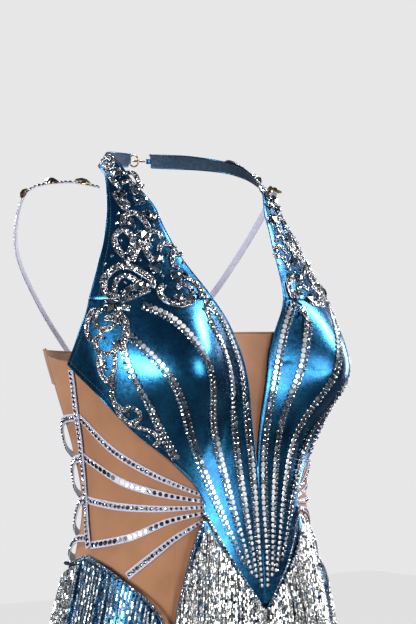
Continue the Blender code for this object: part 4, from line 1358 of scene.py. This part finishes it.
def neck_hook(work):
    shape = ((0.0115, 0.0035), (0.0040, 0.0045), (-0.0030, 0.0045), (-0.0052, 0.0030), (-0.0060, 0),
             (-0.0052, -0.0030), (-0.0030, -0.0045), (-0.0005, -0.0045))
    points = [(x, NECK_Y + y, NECK_HEIGHT) for x, y in shape]
    work.tube(route(points, np.linspace(0, 1, 60)), WIRE, GOLD, 14)


def back_eye(work):
    y, z, reach = BACK_HOOK_Y, BACK_HOOK_Z, CLOSURE_REACH
    loop = arc((-0.0055, y, z), reach, math.pi / 2, -math.pi / 2, 30, ((1, 0, 0), (0, 0, 1)))
    work.tube([(-0.0085, y, z + reach), *loop, (-0.0085, y, z - reach)], WIRE, GOLD, 14)


def back_hook(work):
    shape = ((0.0085, 0.0005), (0.0030, 0.0028), (-0.0020, 0.0028), (-0.0040, 0), (-0.0025, -0.0028),
             (0.0010, -0.0028))
    points = [(x, BACK_HOOK_Y + y, BACK_HOOK_Z) for x, y in shape]
    work.tube(route(points, np.linspace(0, 1, 50)), WIRE, GOLD, 14)


single("neck_ring", neck_ring, body="neck_ring")
single("neck_hook", neck_hook)
single("back_eye", back_eye)
single("back_hook", back_hook)

# --- cup pads

PAD_SIDE = 33
CLOTH_FRAMES = 20


def pad_at(u, v):
    across = 2 * u - 1
    up = 2 * v - 1
    angle = -40.0 + 19.0 * across * np.sqrt(1 - up * up / 2)
    return angle, BUST_Z + 0.050 * up * np.sqrt(1 - across * across / 2)


def cup_pad(work):
    u, v = np.meshgrid(np.linspace(0, 1, PAD_SIDE), np.linspace(0, 1, PAD_SIDE), indexing="ij")
    angle, z = pad_at(u, v)
    out = facing(angle, z)
    rim = np.minimum(np.minimum(u, 1 - u), np.minimum(v, 1 - v))
    thick = PAD_THICK * np.clip(0.25 + 2.4 * rim, 0, 1)
    base = bare(angle, z) + out * PAD_LIFT
    top = base + out * thick[..., None]
    work.grid(top, PAD)
    work.grid(base, PAD, flip=True)
    ring = np.roll(rim_of(PAD_SIDE, PAD_SIDE)[::-1], 1)
    work.grid(np.stack([base.reshape(-1, 3)[ring], top.reshape(-1, 3)[ring]], 1), PAD, close_u=True)


def inflate(made, cap):
    """Cloth: the pad's cover is blown up a little, and its points move at most cap."""
    voxel = made.modifiers.new("Even", "REMESH")
    voxel.mode = "VOXEL"
    voxel.voxel_size = 0.0030
    apply_all(made)
    before = points_of(made)
    cloth = made.modifiers.new("Cloth", "CLOTH")
    cloth.settings.use_pressure = True
    cloth.settings.uniform_pressure_force = 4.0
    cloth.settings.effector_weights.gravity = 0.0
    cloth.settings.quality = 5
    cloth.point_cache.frame_end = CLOTH_FRAMES
    for number in range(1, CLOTH_FRAMES + 1):
        bpy.context.scene.frame_set(number)
    shown = made.evaluated_get(bpy.context.evaluated_depsgraph_get())
    after = np.array([v.co[:] for v in shown.data.vertices])
    made.modifiers.clear()
    bpy.context.scene.frame_set(1)
    step = after - before
    length = np.linalg.norm(step, axis=1, keepdims=True)
    step = step * np.minimum(1, cap / np.maximum(length, 1e-9))
    made.data.vertices.foreach_set("co", (before + step).astype(np.float32).ravel())
    smooth = made.modifiers.new("Fine", "SUBSURF")
    smooth.levels = 1
    smooth.render_levels = 1
    apply_all(made)
    made.data.shade_smooth()


def points_of(made):
    points = np.zeros(len(made.data.vertices) * 3, np.float32)
    made.data.vertices.foreach_get("co", points)
    return points.reshape(-1, 3).astype(float)


def apply_all(made):
    shown = made.evaluated_get(bpy.context.evaluated_depsgraph_get())
    mesh = bpy.data.meshes.new_from_object(shown)
    made.modifiers.clear()
    made.data = mesh


for pad in both("cup_pad", cup_pad):
    inflate(pad, 0.0014)

# --- camera, floor and light

DISTANCE = 2.6
CAMERA_TURN = 40
AIM_RIGHT = 0.0179
AIM_HEIGHT = 0.1974
VIEW_HEIGHT = 624 * 0.00105
SENSOR = 36
CHEST = (0.0, 0.0, 0.12)
STUDIO_DARK = (0.05, 0.055, 0.065, 1)
STUDIO_PALE = (0.80, 0.80, 0.81, 1)
FLOOR_BELOW = 0.62
FLOOR_REACH = 6


def look(from_point, at):
    return (Vector(at) - Vector(from_point)).to_track_quat("-Z", "Y").to_euler()


def add_camera():
    turn = math.radians(CAMERA_TURN)
    right = Vector((math.cos(turn), -math.sin(turn), 0))
    target = right * AIM_RIGHT + Vector((0, 0, AIM_HEIGHT))
    data = bpy.data.cameras.new("Camera")
    camera = bpy.data.objects.new("Camera", data)
    bpy.context.scene.collection.objects.link(camera)
    camera.location = target + Vector((-math.sin(turn), -math.cos(turn), 0)) * DISTANCE
    camera.rotation_euler = look(camera.location, target)
    data.sensor_width = SENSOR
    data.lens = SENSOR * DISTANCE / VIEW_HEIGHT
    data.clip_start = 0.05
    bpy.context.scene.camera = camera


def area_light(name, place, watts, wide, tall):
    data = bpy.data.lights.new(name, "AREA")
    data.energy = watts
    data.shape = "RECTANGLE"
    data.size = wide
    data.size_y = tall
    light = bpy.data.objects.new(name, data)
    bpy.context.scene.collection.objects.link(light)
    light.location = place
    light.rotation_euler = look(place, CHEST)


def add_world():
    """A dark studio in reflections, and a pale background behind the garment."""
    world = bpy.data.worlds.new("Studio")
    bpy.context.scene.world = world
    world.use_nodes = True
    nodes = world.node_tree.nodes
    links = world.node_tree.links
    back = nodes["Background"]
    back.inputs["Color"].default_value = STUDIO_DARK
    back.inputs["Strength"].default_value = 1.0
    seen = nodes.new("ShaderNodeBackground")
    seen.inputs["Color"].default_value = STUDIO_PALE
    mix = nodes.new("ShaderNodeMixShader")
    path = nodes.new("ShaderNodeLightPath")
    links.new(path.outputs["Is Camera Ray"], mix.inputs[0])
    links.new(back.outputs[0], mix.inputs[1])
    links.new(seen.outputs[0], mix.inputs[2])
    links.new(mix.outputs[0], nodes["World Output"].inputs["Surface"])


def add_floor():
    data = bpy.data.meshes.new("floor")
    low = CAD_BOX[0][2] - FLOOR_BELOW
    corners = [(x * FLOOR_REACH, y * FLOOR_REACH, low) for x, y in ((-1, -1), (1, -1), (1, 1), (-1, 1))]
    data.from_pydata(corners, [], [(0, 1, 2, 3)])
    floor = bpy.data.objects.new("floor", data)
    bpy.context.scene.collection.objects.link(floor)
    paint = Paint("pale_floor", (0.06, 0.06, 0.06), 0.9)
    paint.set("Emission Color", (1.0, 1.0, 1.0, 1.0))
    paint.feed("Emission Strength", paint.span(paint.node("LightPath", "Is Camera Ray"), 0.0, 0.74))
    data.materials.append(paint.made)


add_camera()
add_world()
add_floor()
area_light("side", (-2.40, -0.35, -0.05), 60, 0.50, 0.75)
area_light("high", (1.65, -0.95, 1.75), 62, 0.50, 0.65)
area_light("front", (0.20, -2.60, 0.30), 36, 0.9, 1.5)
area_light("rim", (2.3, 0.2, 0.4), 24, 0.5, 1.4)
area_light("back", (-0.6, 2.4, 1.3), 45, 1.2, 1.2)
# Plain display colours, so that the foil keeps its blue
bpy.context.scene.view_settings.view_transform = "Standard"
